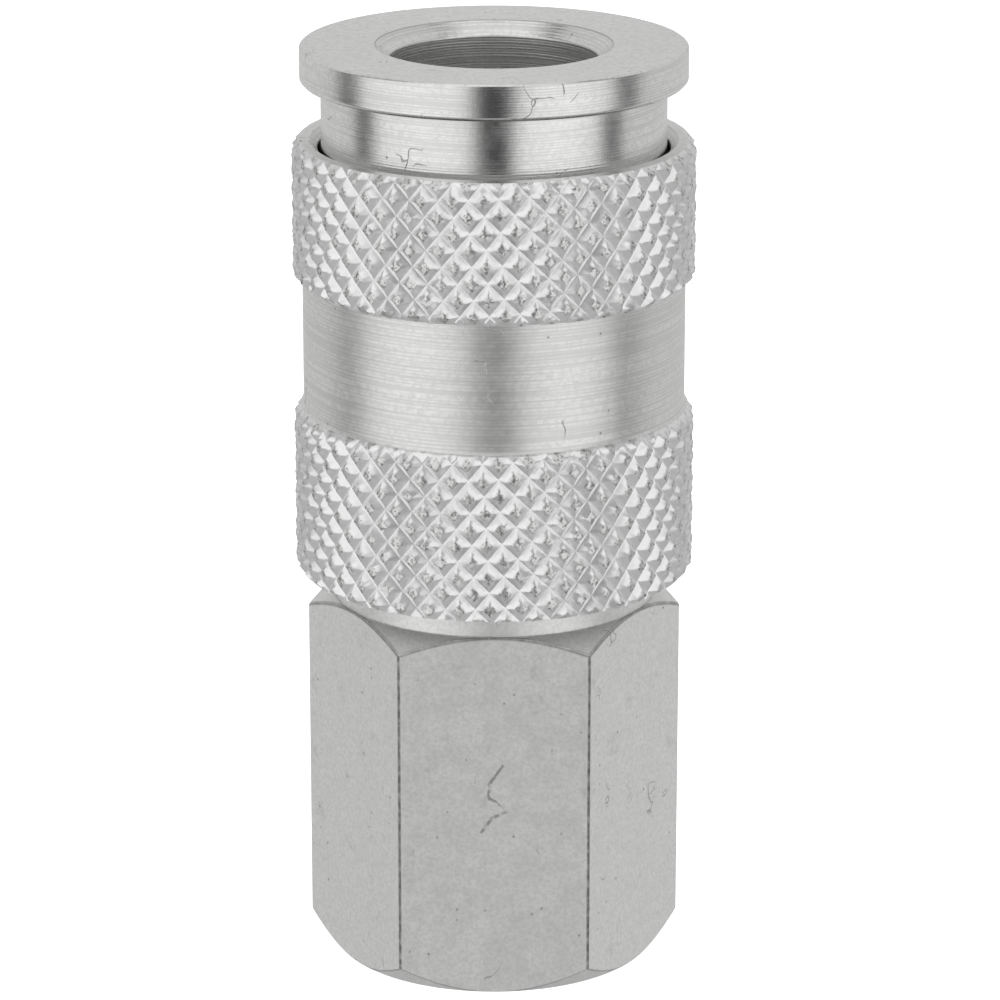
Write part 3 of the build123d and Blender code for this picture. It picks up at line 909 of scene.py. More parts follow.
@dataclass
class RadialRule:
    """A geometry-node tree that moves a surface in or out by a rule of angle and height."""

    title: str
    material: bpy.types.Material
    values: dict[str, float] = field(default_factory=dict)

    def rule(self, graph: Graph, inputs: dict[str, Socket], place: dict[str, Socket]) -> Socket:
        """The new radius in metres; each kind of surface has its own."""
        raise NotImplementedError

    def apply(self, piece: bpy.types.Object) -> None:
        """Run the rule on a piece and leave a plain mesh.

        Args:
            piece: the blank, already turned.
        """
        tree = GeometryTree(self.title, self.values)
        graph = tree.graph
        inputs = {name: tree.inputs[name] for name in self.values}
        position = graph.node("GeometryNodeInputPosition").outputs[0]
        x, y, z = graph.split(position)
        radius = graph.axis_distance(position)
        angle = graph.axis_angle(position)
        place = {"angle": angle, "height": z, "radius": radius, "position": position}
        target = self.rule(graph, inputs, place)
        scale = graph.maths("DIVIDE", target, graph.maths("MAXIMUM", radius, 1e-6))
        moved = graph.join(graph.maths("MULTIPLY", x, scale), graph.maths("MULTIPLY", y, scale), z)
        change = {"Geometry": tree.inputs["Geometry"], "Position": moved}
        shifted = graph.node("GeometryNodeSetPosition", change).outputs[0]
        tree.run(piece, shifted, self.material)


class DiamondKnurl(RadialRule):
    """Two families of grooves rolled into the sleeve, which leave rows of blunt pyramids."""

    def rule(self, graph: Graph, inputs: dict[str, Socket], place: dict[str, Socket]) -> Socket:
        """The lower of the blank and the knurled surface; see RadialRule.rule."""
        nearest = groove_distance(graph, place["angle"], place["height"], inputs)
        root = inputs["Root Rounding"]
        root_squared = graph.maths("MULTIPLY", root, root)
        squared = graph.maths("ADD", graph.maths("MULTIPLY", nearest, nearest), root_squared)
        height = graph.maths("SUBTRACT", graph.maths("SQRT", squared), root)
        share = graph.maths("MINIMUM", graph.maths("DIVIDE", height, inputs["Crest Share"]), 1.0)
        noise = graph.noise(place["position"], 1 / (0.2 * MM), detail=2.0)
        pits = graph.maths("MULTIPLY", graph.remap(noise, 0.42, 0.62, 0.0, 1.0), inputs["Crest Wear"])
        on_crest = graph.remap(share, 0.8, 1.0, 0.0, 1.0)
        worn = graph.maths("MULTIPLY", pits, on_crest)
        depth = graph.maths("MULTIPLY", graph.maths("SUBTRACT", 1.0, share), inputs["Depth"])
        surface = graph.maths("SUBTRACT", graph.maths("SUBTRACT", inputs["Crest Radius"], depth), worn)
        return graph.maths("MINIMUM", place["radius"], surface)


class InletThread(RadialRule):
    """The female taper thread at the rear, cut outwards from the adapter's bore."""

    def rule(self, graph: Graph, inputs: dict[str, Socket], place: dict[str, Socket]) -> Socket:
        """The larger of the bored blank and the thread; see RadialRule.rule."""
        lead = graph.maths("MULTIPLY", place["angle"], graph.maths("DIVIDE", inputs["Pitch"], TURN))
        climbed = graph.maths("SUBTRACT", place["height"], lead)
        tooth = graph.maths("PINGPONG", graph.maths("DIVIDE", climbed, inputs["Pitch"]), 0.5)
        shape = graph.maths("SUBTRACT", graph.maths("MULTIPLY", tooth, 2.5), 0.12, clamp=True)
        to_end = graph.maths("SUBTRACT", inputs["End"], place["height"])
        left = graph.maths("DIVIDE", to_end, inputs["Run Out"])
        fade = graph.maths("MINIMUM", graph.maths("MAXIMUM", left, 0.0), 1.0)
        cut = graph.maths("MULTIPLY", graph.maths("MULTIPLY", shape, fade), inputs["Depth"])
        thread = graph.maths("ADD", inputs["Minor Radius"], cut)
        inside = graph.maths("LESS_THAN", place["height"], inputs["End"])
        return graph.maths("MAXIMUM", place["radius"], graph.maths("MULTIPLY", thread, inside))


@dataclass
class CoilSpring:
    """A helical compression spring with closed end coils, drawn by geometry nodes."""

    name: str
    mean_radius: float
    wire: float
    rear: float
    front: float
    turns: float
    closed_turns: float = 1.0
    points_per_turn: int = 40
    wire_sides: int = 18

    def build(self, material: bpy.types.Material) -> bpy.types.Object:
        """Make the spring.

        Args:
            material: its finish, set by the tree.

        Returns:
            The spring as a plain mesh.
        """
        free = (self.front - self.rear - self.wire) - 2 * self.closed_turns * self.wire
        values = {
            "Mean Radius": self.mean_radius * MM,
            "Wire Radius": self.wire / 2 * MM,
            "Start": (self.rear + self.wire / 2) * MM,
            "Turns": self.turns,
            "Closed Turns": self.closed_turns,
            "Closed Pitch": self.wire * MM,
            "Open Pitch": free / (self.turns - 2 * self.closed_turns) * MM,
        }
        tree = GeometryTree(f"{self.name}_coil", values)
        graph, entry = tree.graph, tree.inputs
        count = int(self.turns * self.points_per_turn)
        line = graph.node("GeometryNodeCurvePrimitiveLine").outputs[0]
        path = graph.node("GeometryNodeResampleCurve", {"Curve": line, "Count": count})
        along = graph.node("GeometryNodeSplineParameter").outputs["Factor"]
        turn = graph.maths("MULTIPLY", along, entry["Turns"])
        angle = graph.maths("MULTIPLY", turn, TURN)
        last_open = graph.maths("SUBTRACT", entry["Turns"], entry["Closed Turns"])
        first_closed = graph.maths("MINIMUM", turn, entry["Closed Turns"])
        last_closed = graph.maths("MAXIMUM", graph.maths("SUBTRACT", turn, last_open), 0.0)
        closed = graph.maths("ADD", first_closed, last_closed)
        opened = graph.maths("SUBTRACT", turn, closed)
        rise = graph.maths("MULTIPLY", closed, entry["Closed Pitch"])
        height = graph.maths("ADD", rise, graph.maths("MULTIPLY", opened, entry["Open Pitch"]))
        spot = graph.join(
            graph.maths("MULTIPLY", graph.maths("SINE", angle), entry["Mean Radius"]),
            graph.maths("MULTIPLY", graph.maths("COSINE", angle), entry["Mean Radius"]),
            graph.maths("ADD", height, entry["Start"]),
        )
        helix = graph.node("GeometryNodeSetPosition", {"Geometry": path.outputs[0], "Position": spot})
        upright = graph.node("GeometryNodeSetCurveNormal", {"Curve": helix.outputs[0]})
        wire = {"Resolution": self.wire_sides, "Radius": entry["Wire Radius"]}
        section = graph.node("GeometryNodeCurvePrimitiveCircle", wire)
        tube = graph.node(
            "GeometryNodeCurveToMesh",
            {"Curve": upright.outputs[0], "Profile Curve": section.outputs[0], "Fill Caps": True},
        )
        piece = bpy.data.objects.new(self.name, bpy.data.meshes.new(self.name))
        bpy.context.scene.collection.objects.link(piece)
        tree.run(piece, tube.outputs[0], material)
        smooth(piece, 50.0)
        return piece


# -------------------------------------------------------------------------------------------- nose


@dataclass
class Nose:
    """The fixed nose: flange, neck and the long tube that holds the balls and the seal pack."""

    flange_thickness: float = 2.1
    neck_length: float = 4.5
    neck_inset: float = 1.2
    entry_chamfer: float = 0.8
    plug_bore: float = 6.0
    relief_bore: float = 6.2
    retainer_bore: float = 6.7
    valve_bore: float = 6.95
    tube_radius: float = 8.0
    ball_hole: float = 1.62
    ball_count: int = 6

    def outline(self) -> list[Corner]:
        """The nose's section, from its tail up the outside and back down the bore."""
        tail, front = cad_span("nose_body")
        flange = cad_radius("nose_body")
        ball_low, ball_high = cad_span("ball_1")
        ball = (ball_low + ball_high) / 2
        neck = flange - self.neck_inset
        flange_rear = front - self.flange_thickness
        neck_rear = flange_rear - self.neck_length
        pack_front = cad_span("seal_washer")[1]
        clip_rear, clip_front = cad_span("seat_circlip")
        groove = cad_radius("seat_circlip") + 0.05
        relief_front, relief_rear = ball + 2.2, cad_span("ball_retainer")[0] + 1.3
        return [
            Corner(self.valve_bore, tail),
            Corner(self.tube_radius - 0.3, tail),
            Corner(self.tube_radius, tail + 0.3),
            Corner(self.tube_radius, neck_rear, 0.25),
            Corner(neck - 0.3, neck_rear),
            Corner(neck, neck_rear + 0.3),
            Corner(neck, flange_rear, 0.12),
            Corner(flange - 0.2, flange_rear, 0.08),
            Corner(flange, flange_rear + 0.2, 0.12),
            Corner(flange, front - 0.12, 0.1),
            Corner(flange - 0.12, front, 0.1),
            Corner(self.plug_bore + self.entry_chamfer, front, 0.08),
            Corner(self.plug_bore, front - self.entry_chamfer, 0.15),
            Corner(self.plug_bore, relief_front),
            Corner(self.relief_bore, relief_front - 0.2),
            Corner(self.relief_bore, relief_rear),
            Corner(self.retainer_bore, relief_rear),
            Corner(self.retainer_bore, pack_front),
            Corner(self.valve_bore, pack_front),
            Corner(self.valve_bore, clip_front),
            Corner(groove, clip_front),
            Corner(groove, clip_rear - 0.05),
            Corner(self.valve_bore, clip_rear - 0.05),
        ]

    def ball_hole_tool(self) -> bpy.types.Object:
        """Six round bars where the ball holes are drilled."""
        low, high = cad_span("ball_1")
        mesh = bmesh.new()
        length = self.tube_radius
        for number in range(self.ball_count):
            turn = Matrix.Rotation(TURN * number / self.ball_count, 4, "Z")
            place = turn @ Matrix.Translation(Vector((self.tube_radius, 0, (low + high) / 2)) * MM)
            bmesh.ops.create_cone(
                mesh,
                cap_ends=True,
                segments=48,
                radius1=self.ball_hole * MM,
                radius2=self.ball_hole * MM,
                depth=length * MM,
                matrix=place @ Matrix.Rotation(math.pi / 2, 4, "Y"),
            )
        return finish_mesh(mesh, "ball_hole_tool")

    def build(self, finishes: FinishSet) -> None:
        """Make the nose and tie it to the body."""
        piece = lathe("turned_nose", self.outline())
        combine(piece, self.ball_hole_tool(), Cut.AWAY)
        smooth(piece, 35.0)
        dress(piece, finishes.nose, "body", ["nose_body"])


# ------------------------------------------------------------------------------------------- sleeve


@dataclass
class Sleeve:
    """The sliding sleeve: two knurled bands with a plain turned band between them."""

    pattern: KnurlPattern = field(default_factory=KnurlPattern)
    knurl_depth: float = 0.42
    crest_share: float = 0.58
    crest_wear: float = 0.07
    root_rounding: float = 0.07
    front_knurl: float = 7.7
    rear_knurl: float = 9.25
    band_inset: float = 0.57
    front_shoulder: float = 0.5
    rear_shoulder: float = 0.6
    end_bevel: float = 0.4
    band_fillet: float = 0.55
    skirt_radius: float = 10.15
    lip_bevel: float = 0.44
    pocket_radius: float = 10.0
    land_radius: float = 8.08
    cone_front: float = 44.76
    cone_rear: float = 39.07
    spring_shoulder: float = 34.0
    cell_fractions: tuple[float, ...] = (0.0, 0.06, 0.29, 0.4, 0.5, 0.6, 0.71, 0.94)

    def blank(self) -> list[Point]:
        """The outside of the blank before knurling, from its rear to its front."""
        rear, front = cad_span("sleeve")
        crest = cad_radius("sleeve")
        band = crest - self.band_inset
        return [
            (crest - self.end_bevel, rear),
            (crest, rear + self.end_bevel),
            (crest, rear + self.rear_knurl),
            (band, rear + self.rear_knurl + self.rear_shoulder),
            (band, front - self.front_knurl - self.front_shoulder),
            (crest, front - self.front_knurl),
            (crest, front - self.end_bevel),
            (crest - self.end_bevel, front),
        ]

    def blank_radius(self, height: float) -> float:
        """The blank's radius at a height."""
        outline = self.blank()
        for (low_radius, low), (high_radius, high) in zip(outline, outline[1:]):
            if low <= height <= high:
                share = (height - low) / (high - low)
                return low_radius + share * (high_radius - low_radius)
        return outline[0][0] if height < outline[0][1] else outline[-1][0]

    def groove_number(self, step: int) -> float:
        """The groove number of one line of the knurl's mesh: a whole number lies in a groove."""
        cell, part = divmod(step, len(self.cell_fractions))
        return cell + self.cell_fractions[part]

    def knurl_sheet(self, mesh: bmesh.types.BMesh, low: float, high: float) -> tuple[list, list]:
        """Add a band of mesh whose lines follow the grooves, trimmed flat at its two heights.

        Args:
            mesh: the mesh to add to.
            low: the band's rear height.
            high: the band's front height.

        Returns:
            The rings of vertices at the rear and at the front.
        """
        parts = len(self.cell_fractions)
        round_left, round_right = self.pattern.left_grooves * parts, self.pattern.right_grooves * parts
        made: dict[tuple[int, int], bmesh.types.BMVert] = {}

        def corner(left: int, right: int) -> bmesh.types.BMVert:
            """The vertex at two line numbers, shared where the band closes on itself."""
            turns = left // round_left
            key = (left - turns * round_left, right - turns * round_right)
            if key not in made:
                angle, height = self.pattern.place(*map(self.groove_number, key))
                made[key] = mesh.verts.new(on_lathe(self.blank_radius(height), angle, height))
            return made[key]

        reach = self.pattern.cells_per_mm / self.pattern.left_grooves
        faces = []
        for left in range(round_left):
            _, origin = self.pattern.place(self.groove_number(left), 0)
            first = math.floor((origin - high) * reach - 1) * parts
            last = math.ceil((origin - low) * reach + 1) * parts
            for right in range(first, last):
                steps = ((0, 0), (1, 0), (1, 1), (0, 1))
                square = tuple(corner(left + a, right + b) for a, b in steps)
                across, up = left % parts, right % parts
                if across == up:
                    faces.append(mesh.faces.new((square[0], square[1], square[2])))
                    faces.append(mesh.faces.new((square[0], square[2], square[3])))
                elif across + up == parts - 1:
                    faces.append(mesh.faces.new((square[0], square[1], square[3])))
                    faces.append(mesh.faces.new((square[1], square[2], square[3])))
                else:
                    faces.append(mesh.faces.new(square))
        return self.trim(mesh, faces, low, high)

    def trim(self, mesh: bmesh.types.BMesh, faces: list, low: float, high: float) -> tuple[list, list]:
        """Cut a sheet flat at both ends and along the blank's edges, and return its end rings."""
        vertices = {v for f in faces for v in f.verts}
        heights = [low, high] + [z for _, z in self.blank() if low < z < high]
        for height in heights:
            geometry = list(vertices) + list({e for v in vertices for e in v.link_edges}) + faces
            cut = bmesh.ops.bisect_plane(
                mesh,
                geom=geometry,
                dist=1e-8,
                plane_co=(0, 0, height * MM),
                plane_no=(0, 0, 1),
                clear_inner=height == low,
                clear_outer=height == high,
            )
            kept = [g for g in cut["geom"] + cut["geom_cut"] if g.is_valid]
            faces = list({g for g in kept if isinstance(g, bmesh.types.BMFace)})
            vertices = {v for f in faces for v in f.verts}
        for vertex in vertices:
            height = vertex.co.z / MM
            flat = math.hypot(vertex.co.x, vertex.co.y)
            scale = self.blank_radius(height) * MM / flat
            vertex.co.x *= scale
            vertex.co.y *= scale
        rear = [v for v in vertices if abs(v.co.z / MM - low) < 1e-5]
        front = [v for v in vertices if abs(v.co.z / MM - high) < 1e-5]
        return rear, front

    def inside(self) -> list[Corner]:
        """The open outline from the front lip through the bore to the rear face."""
        rear, front = cad_span("sleeve")
        edge = cad_radius("sleeve") - self.end_bevel
        return [
            Corner(edge - 0.12, front),
            Corner(self.skirt_radius + self.lip_bevel, front, 0.06),
            Corner(self.skirt_radius, front - self.lip_bevel, 0.1),
            Corner(self.skirt_radius, self.cone_front),
            Corner(self.land_radius, self.cone_rear, 0.2),
            Corner(self.land_radius, self.spring_shoulder, 0.15),
            Corner(self.pocket_radius, self.spring_shoulder),
            Corner(self.pocket_radius, rear, 0.15),
            Corner(edge - 0.12, rear),
        ]

    def build(self, finishes: FinishSet) -> None:
        """Make the sleeve, knurl it and tie it to its body."""
        mesh = bmesh.new()
        layer = mesh.verts.layers.float.new("turned")
        outline = self.blank()
        rear_low, rear_high = self.knurl_sheet(mesh, outline[0][1], outline[3][1])
        front_low, front_high = self.knurl_sheet(mesh, outline[4][1], outline[-1][1])
        knurled = set(mesh.verts)
        band = spin_outline(mesh, self.plain_band(), closed=False)
        inside = spin_outline(mesh, rounded(self.inside(), closed=False), closed=False)
        zip_rings(mesh, rear_high, band[0])
        zip_rings(mesh, front_low, band[-1])
        zip_rings(mesh, front_high, inside[0])
        zip_rings(mesh, rear_low, inside[-1])
        for vertex in mesh.verts:
            vertex[layer] = 0.0 if vertex in knurled else 1.0
        piece = finish_mesh(mesh, "knurled_sleeve")
        knurl = DiamondKnurl("diamond_knurl", finishes.sleeve, self.knurl_values())
        knurl.apply(piece)
        smooth(piece, 43.0)
        dress(piece, finishes.sleeve, "sleeve", ["sleeve"])

    def plain_band(self) -> list[Point]:
        """The rows of the plain band, with a small fillet at the foot of the rear shoulder."""
        radius, low = self.blank()[3]
        high = self.blank()[4][1]
        steps = 8
        start = math.pi / 4
        fillet = []
        for k in range(steps + 1):
            left = start * (1 - k / steps)
            rise = self.band_fillet * (1 - math.cos(left))
            fillet.append((radius + rise, low + 0.03 + self.band_fillet * (math.sin(start) - math.sin(left))))
        foot = fillet[-1][1]
        rows = [(radius, foot + (high - 0.05 - foot) * k / 6) for k in range(1, 7)]
        return fillet + rows

    def knurl_values(self) -> dict[str, float]:
        """The knurl's inputs, by the names that its tree gives them, in metres and radians."""
        return {
            "Crest Radius": cad_radius("sleeve") * MM,
            "Depth": self.knurl_depth * MM,
            "Crest Share": self.crest_share,
            "Crest Wear": self.crest_wear * MM,
            "Root Rounding": self.root_rounding,
            **self.pattern.inputs(),
        }


# ------------------------------------------------------------------------------------------ adapter


@dataclass
class HexAdapter:
    """The wrench hexagon with its collar, its inlet thread and the socket for the nose's tube."""

    hex_length: float = 21.9
    corner_rounding: float = 0.3
    top_angle: float = math.radians(37)
    rear_radius: float = 9.5
    collar_radius: float = 9.4
    thread_bore: float = 5.7
    thread_chamfer: float = 1.3
    thread_pitch: float = 1.411
    thread_depth: float = 0.95
    thread_length: float = 10.4
    passage_radius: float = 4.5
    inlet_length: float = 11.0
    chamber_rear: float = 12.0
    chamber_radius: float = 6.5
    socket_radius: float = 8.04
    columns_per_flat: int = 30
    columns_per_corner: int = 8
    rows_per_pitch: int = 14

    @property
    def apothem(self) -> float:
        """Half of the size across the flats."""
        return cad_radius("hex_adapter")

    def columns(self) -> list[tuple[float, float]]:
        """The hexagon's outline as (angle, radius), with rounded corners.

        Returns:
            The columns in order round the axis; angle 0 is the middle of the flat that faces -Y.
        """
        reach = (self.apothem - self.corner_rounding) * math.tan(math.pi / 6)
        made: list[tuple[float, float]] = []
        for side in range(6):
            middle = TURN * side / 6
            for k in range(self.columns_per_flat):
                share = -1 + 2 * (k + 0.5) / self.columns_per_flat
                eased = math.sin(share * math.pi / 2)
                made.append(self.polar(middle, eased * reach, self.apothem))
            for k in range(self.columns_per_corner + 1):
                swing = math.pi / 3 * k / self.columns_per_corner
                along = reach + self.corner_rounding * math.sin(swing)
                out = self.apothem - self.corner_rounding * (1 - math.cos(swing))
                made.append(self.polar(middle, along, out))
        return made

    @staticmethod
    def polar(middle: float, along: float, out: float) -> tuple[float, float]:
        """The angle and radius of a point beside a flat's middle."""
        return middle + math.atan2(along, out), math.hypot(along, out)

    def column_outline(self, radius: float) -> list[Point]:
        """The section in the plane where the hexagon has this radius."""
        front = cad_span("hex_adapter")[1]
        shoulder = self.hex_length - (radius - self.apothem) * math.tan(self.top_angle)
        gasket_rear = cad_span("body_gasket")[0]
        thread_rows = round(self.thread_length / self.thread_pitch * self.rows_per_pitch)
        outside = [
            Corner(self.rear_radius - 0.6, 0.0),
            Corner(self.rear_radius, 0.0, 0.08),
            Corner(radius, radius - self.rear_radius, 0.12),
            Corner(radius, shoulder, 0.3),
            Corner(self.apothem - 0.03, self.hex_length),
            Corner(self.collar_radius, self.hex_length, 0.06),
            Corner(self.collar_radius, front - 0.15, 0.08),
            Corner(self.collar_radius - 0.15, front, 0.08),
            Corner(self.socket_radius + 0.15, front),
            Corner(self.socket_radius, front - 0.15),
            Corner(self.socket_radius, gasket_rear),
            Corner(self.chamber_radius, gasket_rear),
            Corner(self.chamber_radius, self.chamber_rear),
            Corner(self.passage_radius, self.chamber_rear),
            Corner(self.passage_radius, self.inlet_length),
            Corner(self.thread_bore, self.inlet_length),
            Corner(self.thread_bore, self.thread_length),
        ]
        points = rounded(outside, closed=False, arc_steps=4)
        for row in range(thread_rows - 1, 0, -1):
            height = self.thread_length * row / thread_rows
            points.append((self.thread_bore + max(0.0, self.thread_chamfer - height), height))
        points.append((self.thread_bore + self.thread_chamfer, 0.0))
        return points

    def build(self, finishes: FinishSet) -> None:
        """Make the adapter, thread it and tie it to the body."""
        mesh = bmesh.new()
        grid = [
            [mesh.verts.new(on_lathe(r, angle, z)) for r, z in self.column_outline(radius)]
            for angle, radius in self.columns()
        ]
        rows = len(grid[0])
        for index, column in enumerate(grid):
            after = grid[(index + 1) % len(grid)]
            for row in range(rows):
                up = (row + 1) % rows
                mesh.faces.new((column[row], after[row], after[up], column[up]))
        piece = finish_mesh(mesh, "threaded_hex")
        InletThread("inlet_thread", finishes.adapter, self.thread_values()).apply(piece)
        smooth(piece, 30.0)
        dress(piece, finishes.adapter, "body", ["hex_adapter"])

    def thread_values(self) -> dict[str, float]:
        """The thread's inputs, by the names that its tree gives them, in metres."""
        return {
            "Pitch": self.thread_pitch * MM,
            "Depth": self.thread_depth * MM,
            "Minor Radius": self.thread_bore * MM,
            "End": (self.thread_length + 0.1) * MM,
            "Run Out": 1.0 * MM,
        }


# ---------------------------------------------------------------------------------- lock and valve


@dataclass
class BallLock:
    """The balls and the cup that holds them out, with the cup's spring and the sleeve's."""

    ball_count: int = 6
    hole_radius: float = 4.1
    cup_wall: float = 0.6
    nose_thickness: float = 2.0
    flange_thickness: float = 1.2
    cup_radius: float = 6.1

    def build(self, finishes: FinishSet) -> None:
        """Make the balls, the retainer and the two springs."""
        for number in range(1, self.ball_count + 1):
            self.build_ball(f"ball_{number}", finishes)
        self.build_retainer(finishes)
        self.build_springs(finishes)

    def build_ball(self, node: str, finishes: FinishSet) -> None:
        """Make one polished ball where its CAD node is."""
        low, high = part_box(node)
        mesh = bmesh.new()
        place = Matrix.Translation((low + high) / 2)
        bmesh.ops.create_icosphere(mesh, subdivisions=5, radius=(high.z - low.z) / 2, matrix=place)
        piece = finish_mesh(mesh, f"lock_{node}", 180.0)
        dress(piece, finishes.ball, node, [node])

    def build_retainer(self, finishes: FinishSet) -> None:
        """Make the cup under the balls."""
        rear, front = cad_span("ball_retainer")
        flange = cad_radius("ball_retainer")
        pocket = self.cup_radius - self.cup_wall
        shoulder = front - self.nose_thickness
        outline = [
            Corner(pocket, rear, 0.08),
            Corner(flange, rear, 0.1),
            Corner(flange, rear + self.flange_thickness, 0.1),
            Corner(self.cup_radius, rear + self.flange_thickness),
            Corner(self.cup_radius, front - 0.3, 0.1),
            Corner(self.cup_radius - 0.3, front, 0.1),
            Corner(self.hole_radius + 0.3, front, 0.05),
            Corner(self.hole_radius, front - 0.3),
            Corner(self.hole_radius, shoulder, 0.05),
            Corner(pocket, shoulder),
        ]
        dress(lathe("retainer_cup", outline), finishes.inner, "retainer", ["ball_retainer"])

    def build_springs(self, finishes: FinishSet) -> None:
        """Make the sleeve's spring and the retainer's, each in place of its CAD node."""
        stretch_spring("sleeve_spring", 0.9, 7.0, finishes)
        stretch_spring("retainer_spring", 0.5, 6.0, finishes)


def stretch_spring(node: str, wire: float, turns: float, finishes: FinishSet) -> None:
    """Make a spring in place of its CAD node, from the node's rear to its front.

    Args:
        node: the spring's CAD node.
        wire: the wire's diameter.
        turns: how many turns it has.
        finishes: the finishes.
    """
    rear, front = cad_span(node)
    spring = CoilSpring(f"coiled_{node}", cad_radius(node) - wire / 2, wire, rear, front, turns)
    piece = spring.build(finishes.wire)
    dress(piece, finishes.wire, None, [node])
    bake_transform(piece)


@dataclass
class Valve:
    """The shut-off valve: stem, head and finned nose, with its spring and the packing round it."""

    head_radius: float = 5.4
    boss_radius: float = 3.3
    stem_radius: float = 1.5
    hub_radius: float = 1.6
    fin_radius: float = 3.6
    fin_thickness: float = 1.0
    fin_count: int = 4
    head_thickness: float = 2.3

    def outline(self) -> list[Corner]:
        """The valve's turned section, from the foot of its stem to the tip of its nose."""
        rear, front = cad_span("valve_poppet")
        head_front, boss_front = cad_span("poppet_seal")
        head_rear = head_front - self.head_thickness
        return [
            Corner(0.0, rear),
            Corner(self.stem_radius, rear, 0.3),
            Corner(self.stem_radius, head_rear, 0.2),
            Corner(self.head_radius, head_rear, 0.3),
            Corner(self.head_radius, head_front, 0.08),
            Corner(self.boss_radius, head_front),
            Corner(self.boss_radius, boss_front, 0.1),
            Corner(self.hub_radius, boss_front),
            Corner(self.hub_radius, front - 0.05, 0.3),
            Corner(0.0, front - 0.05),
        ]

    def fin_tool(self) -> bpy.types.Object:
        """The crossed fins that guide the nose through the seat."""
        front = cad_span("valve_poppet")[1]
        rear = cad_span("poppet_seal")[1] - 0.05
        mesh = bmesh.new()
        for number in range(self.fin_count):
            size = Matrix.Diagonal((self.fin_radius * MM, self.fin_thickness * MM, (front - rear) * MM, 1.0))
            place = Matrix.Translation(Vector((self.fin_radius / 2, 0, (front + rear) / 2)) * MM)
            turn = Matrix.Rotation(TURN * number / self.fin_count, 4, "Z")
            bmesh.ops.create_cube(mesh, size=1.0, matrix=turn @ place @ size)
        return finish_mesh(mesh, "fin_tool")

    def build(self, finishes: FinishSet) -> None:
        """Make the valve and its spring, and dress the CAD pieces round them."""
        mesh = bmesh.new()
        spin_outline(mesh, rounded(self.outline(), closed=False), closed=False)
        piece = finish_mesh(mesh, "finned_valve")
        combine(piece, self.fin_tool(), Cut.JOIN)
        smooth(piece, 35.0)
        dress(piece, finishes.brass, "valve", ["valve_poppet"])
        stretch_spring("valve_spring", 0.6, 6.0, finishes)
        kept = {
            "poppet_seal": finishes.rubber,
            "plug_seal": finishes.rubber,
            "body_gasket": finishes.gasket,
            "valve_seat": finishes.brass,
            "valve_guide": finishes.brass,
            "seal_washer": finishes.inner,
            "seat_circlip": finishes.wire,
        }
        for node, material in kept.items():
            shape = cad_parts[node]
            shape.data.materials.clear()
            shape.data.materials.append(material)
            LOG.info("%s: CAD node kept, with %s", node, material.name)


# ------------------------------------------------------------------------------------------- studio


@dataclass(frozen=True)
class Panel:
    """One stop of the light tent's wall: an angle round the coupler from its front, and a brightness."""

    angle: float
    brightness: float


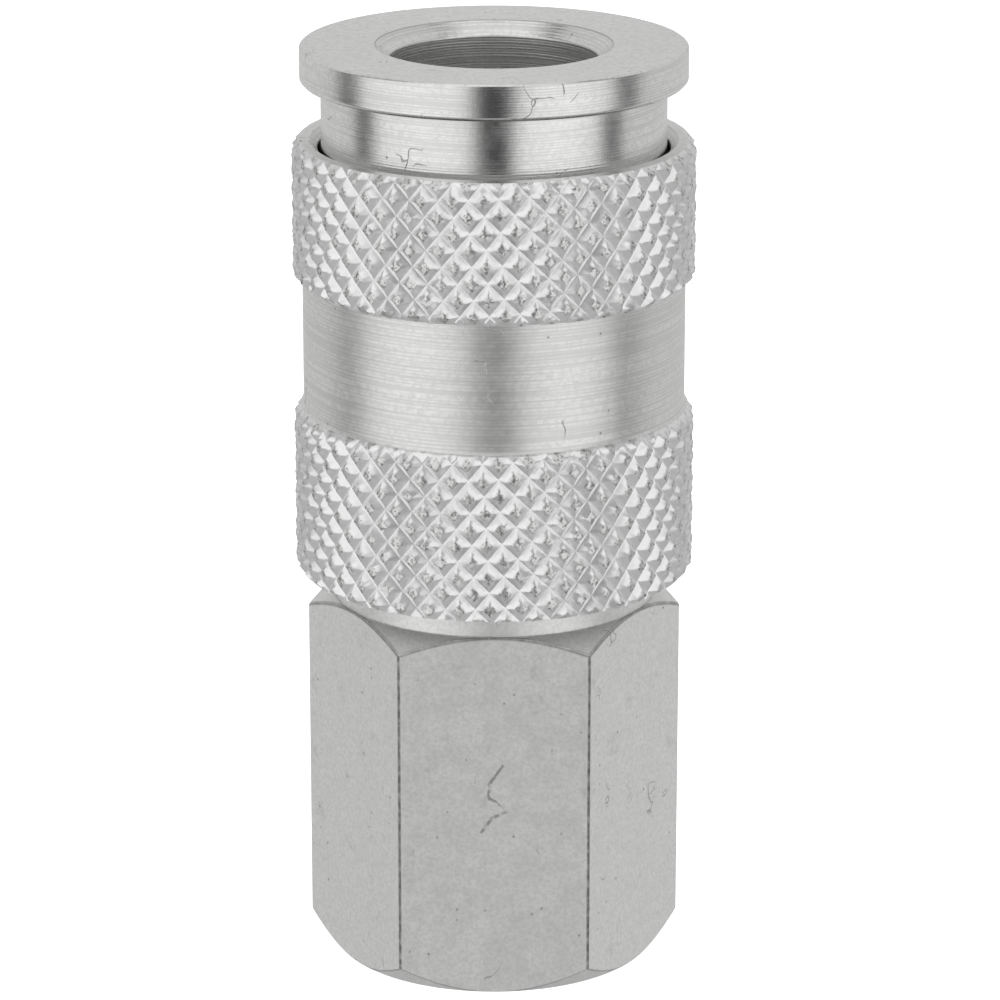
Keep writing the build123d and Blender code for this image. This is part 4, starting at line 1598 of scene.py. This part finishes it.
@dataclass
class Studio:
    """A plain pale floor and a soft light tent with three narrow dark gaps between its panels."""

    panels: tuple[Panel, ...] = (
        Panel(-180, 0.62),
        Panel(-108, 0.62),
        Panel(-100, 0.11),
        Panel(-90, 0.11),
        Panel(-82, 0.85),
        Panel(-50, 0.95),
        Panel(-17, 0.92),
        Panel(-8, 0.0),
        Panel(8, 0.0),
        Panel(17, 0.92),
        Panel(50, 0.95),
        Panel(72, 0.8),
        Panel(79, 0.12),
        Panel(89, 0.12),
        Panel(97, 0.62),
        Panel(180, 0.62),
    )
    roof: float = 0.85
    ground: float = 0.42
    floor_glow: float = 0.9
    camera_place: tuple[float, float, float] = (0.0, -270.1, 111.0)
    camera_pitch: float = math.radians(17.235)
    sensor: float = 36.0
    focal_ratio: float = 4.812
    camera_shift: float = 0.006

    def build(self) -> None:
        """Make the light, the floor and the camera."""
        self.build_tent()
        self.build_floor()
        self.build_camera()

    def build_tent(self) -> None:
        """Make the light all round: panels at the level of the coupler, a roof and a ground."""
        world = bpy.data.worlds.new("light_tent")
        world.use_nodes = True
        bpy.context.scene.world = world
        graph = Graph(world.node_tree)
        way = graph.node("ShaderNodeTexCoord").outputs["Generated"]
        z = graph.split(way)[2]
        share = graph.maths("ADD", graph.maths("DIVIDE", graph.axis_angle(way), TURN), 0.5)
        ramp = graph.node("ShaderNodeValToRGB", {"Fac": share})
        elements = ramp.color_ramp.elements
        for index, panel in enumerate(self.panels):
            stop = elements[index] if index < 2 else elements.new(1.0)
            stop.position = panel.angle / 360 + 0.5
            stop.color = grey(panel.brightness)
        wall = ramp.outputs[0]
        up = graph.remap(z, 0.8, 1.0, 0.0, 1.0)
        down = graph.remap(z, -0.5, -0.75, 0.0, 1.0)
        tent = graph.mix(down, graph.mix(up, wall, grey(self.roof)), grey(self.ground))
        seen = graph.node("ShaderNodeLightPath").outputs["Is Camera Ray"]
        light = graph.mix(seen, tent, grey(1.0))
        background = graph.node("ShaderNodeBackground", {"Color": light, "Strength": 1.0})
        graph.node("ShaderNodeOutputWorld", {"Surface": background.outputs[0]})

    def build_floor(self) -> None:
        """Make a pale floor that hides nothing from below and stays out of the reflections."""
        mesh = bmesh.new()
        bmesh.ops.create_grid(mesh, x_segments=1, y_segments=1, size=20.0)
        data = bpy.data.meshes.new("studio_floor")
        mesh.to_mesh(data)
        mesh.free()
        floor = bpy.data.objects.new("studio_floor", data)
        bpy.context.scene.collection.objects.link(floor)
        floor.location.z = -0.02 * MM
        floor.visible_glossy = False
        floor.visible_shadow = False
        material = bpy.data.materials.new("pale_floor")
        material.use_nodes = True
        graph = Graph(material.node_tree)
        paper = graph.node(
            "ShaderNodeBsdfPrincipled",
            {
                "Base Color": grey(0.9),
                "Roughness": 1.0,
                "Emission Color": grey(1.0),
                "Emission Strength": self.floor_glow,
            },
        )
        clear = graph.node("ShaderNodeBsdfTransparent")
        behind = graph.node("ShaderNodeNewGeometry").outputs["Backfacing"]
        both = graph.node("ShaderNodeMixShader", {0: behind, 1: paper.outputs[0], 2: clear.outputs[0]})
        graph.node("ShaderNodeOutputMaterial", {"Surface": both.outputs[0]})
        data.materials.append(material)

    def build_camera(self) -> None:
        """Put the camera in front of the coupler, a little above it and looking down."""
        data = bpy.data.cameras.new("camera")
        data.sensor_width = self.sensor
        data.lens = self.sensor * self.focal_ratio
        data.shift_x = self.camera_shift
        data.clip_start = 0.01
        camera = bpy.data.objects.new("camera", data)
        camera.location = Vector(self.camera_place) * MM
        camera.rotation_euler = (math.pi / 2 - self.camera_pitch, 0, 0)
        bpy.context.scene.collection.objects.link(camera)
        bpy.context.scene.camera = camera
        bpy.context.scene.view_settings.view_transform = "Standard"


def main() -> None:
    """Build the coupler's looks from the outside in, then the studio round it."""
    logging.basicConfig(level=logging.INFO, format="%(name)s: %(message)s")
    finishes = FinishSet()
    Nose().build(finishes)
    Sleeve().build(finishes)
    HexAdapter().build(finishes)
    BallLock().build(finishes)
    Valve().build(finishes)
    Studio().build()


if __name__ == "__main__":
    main()
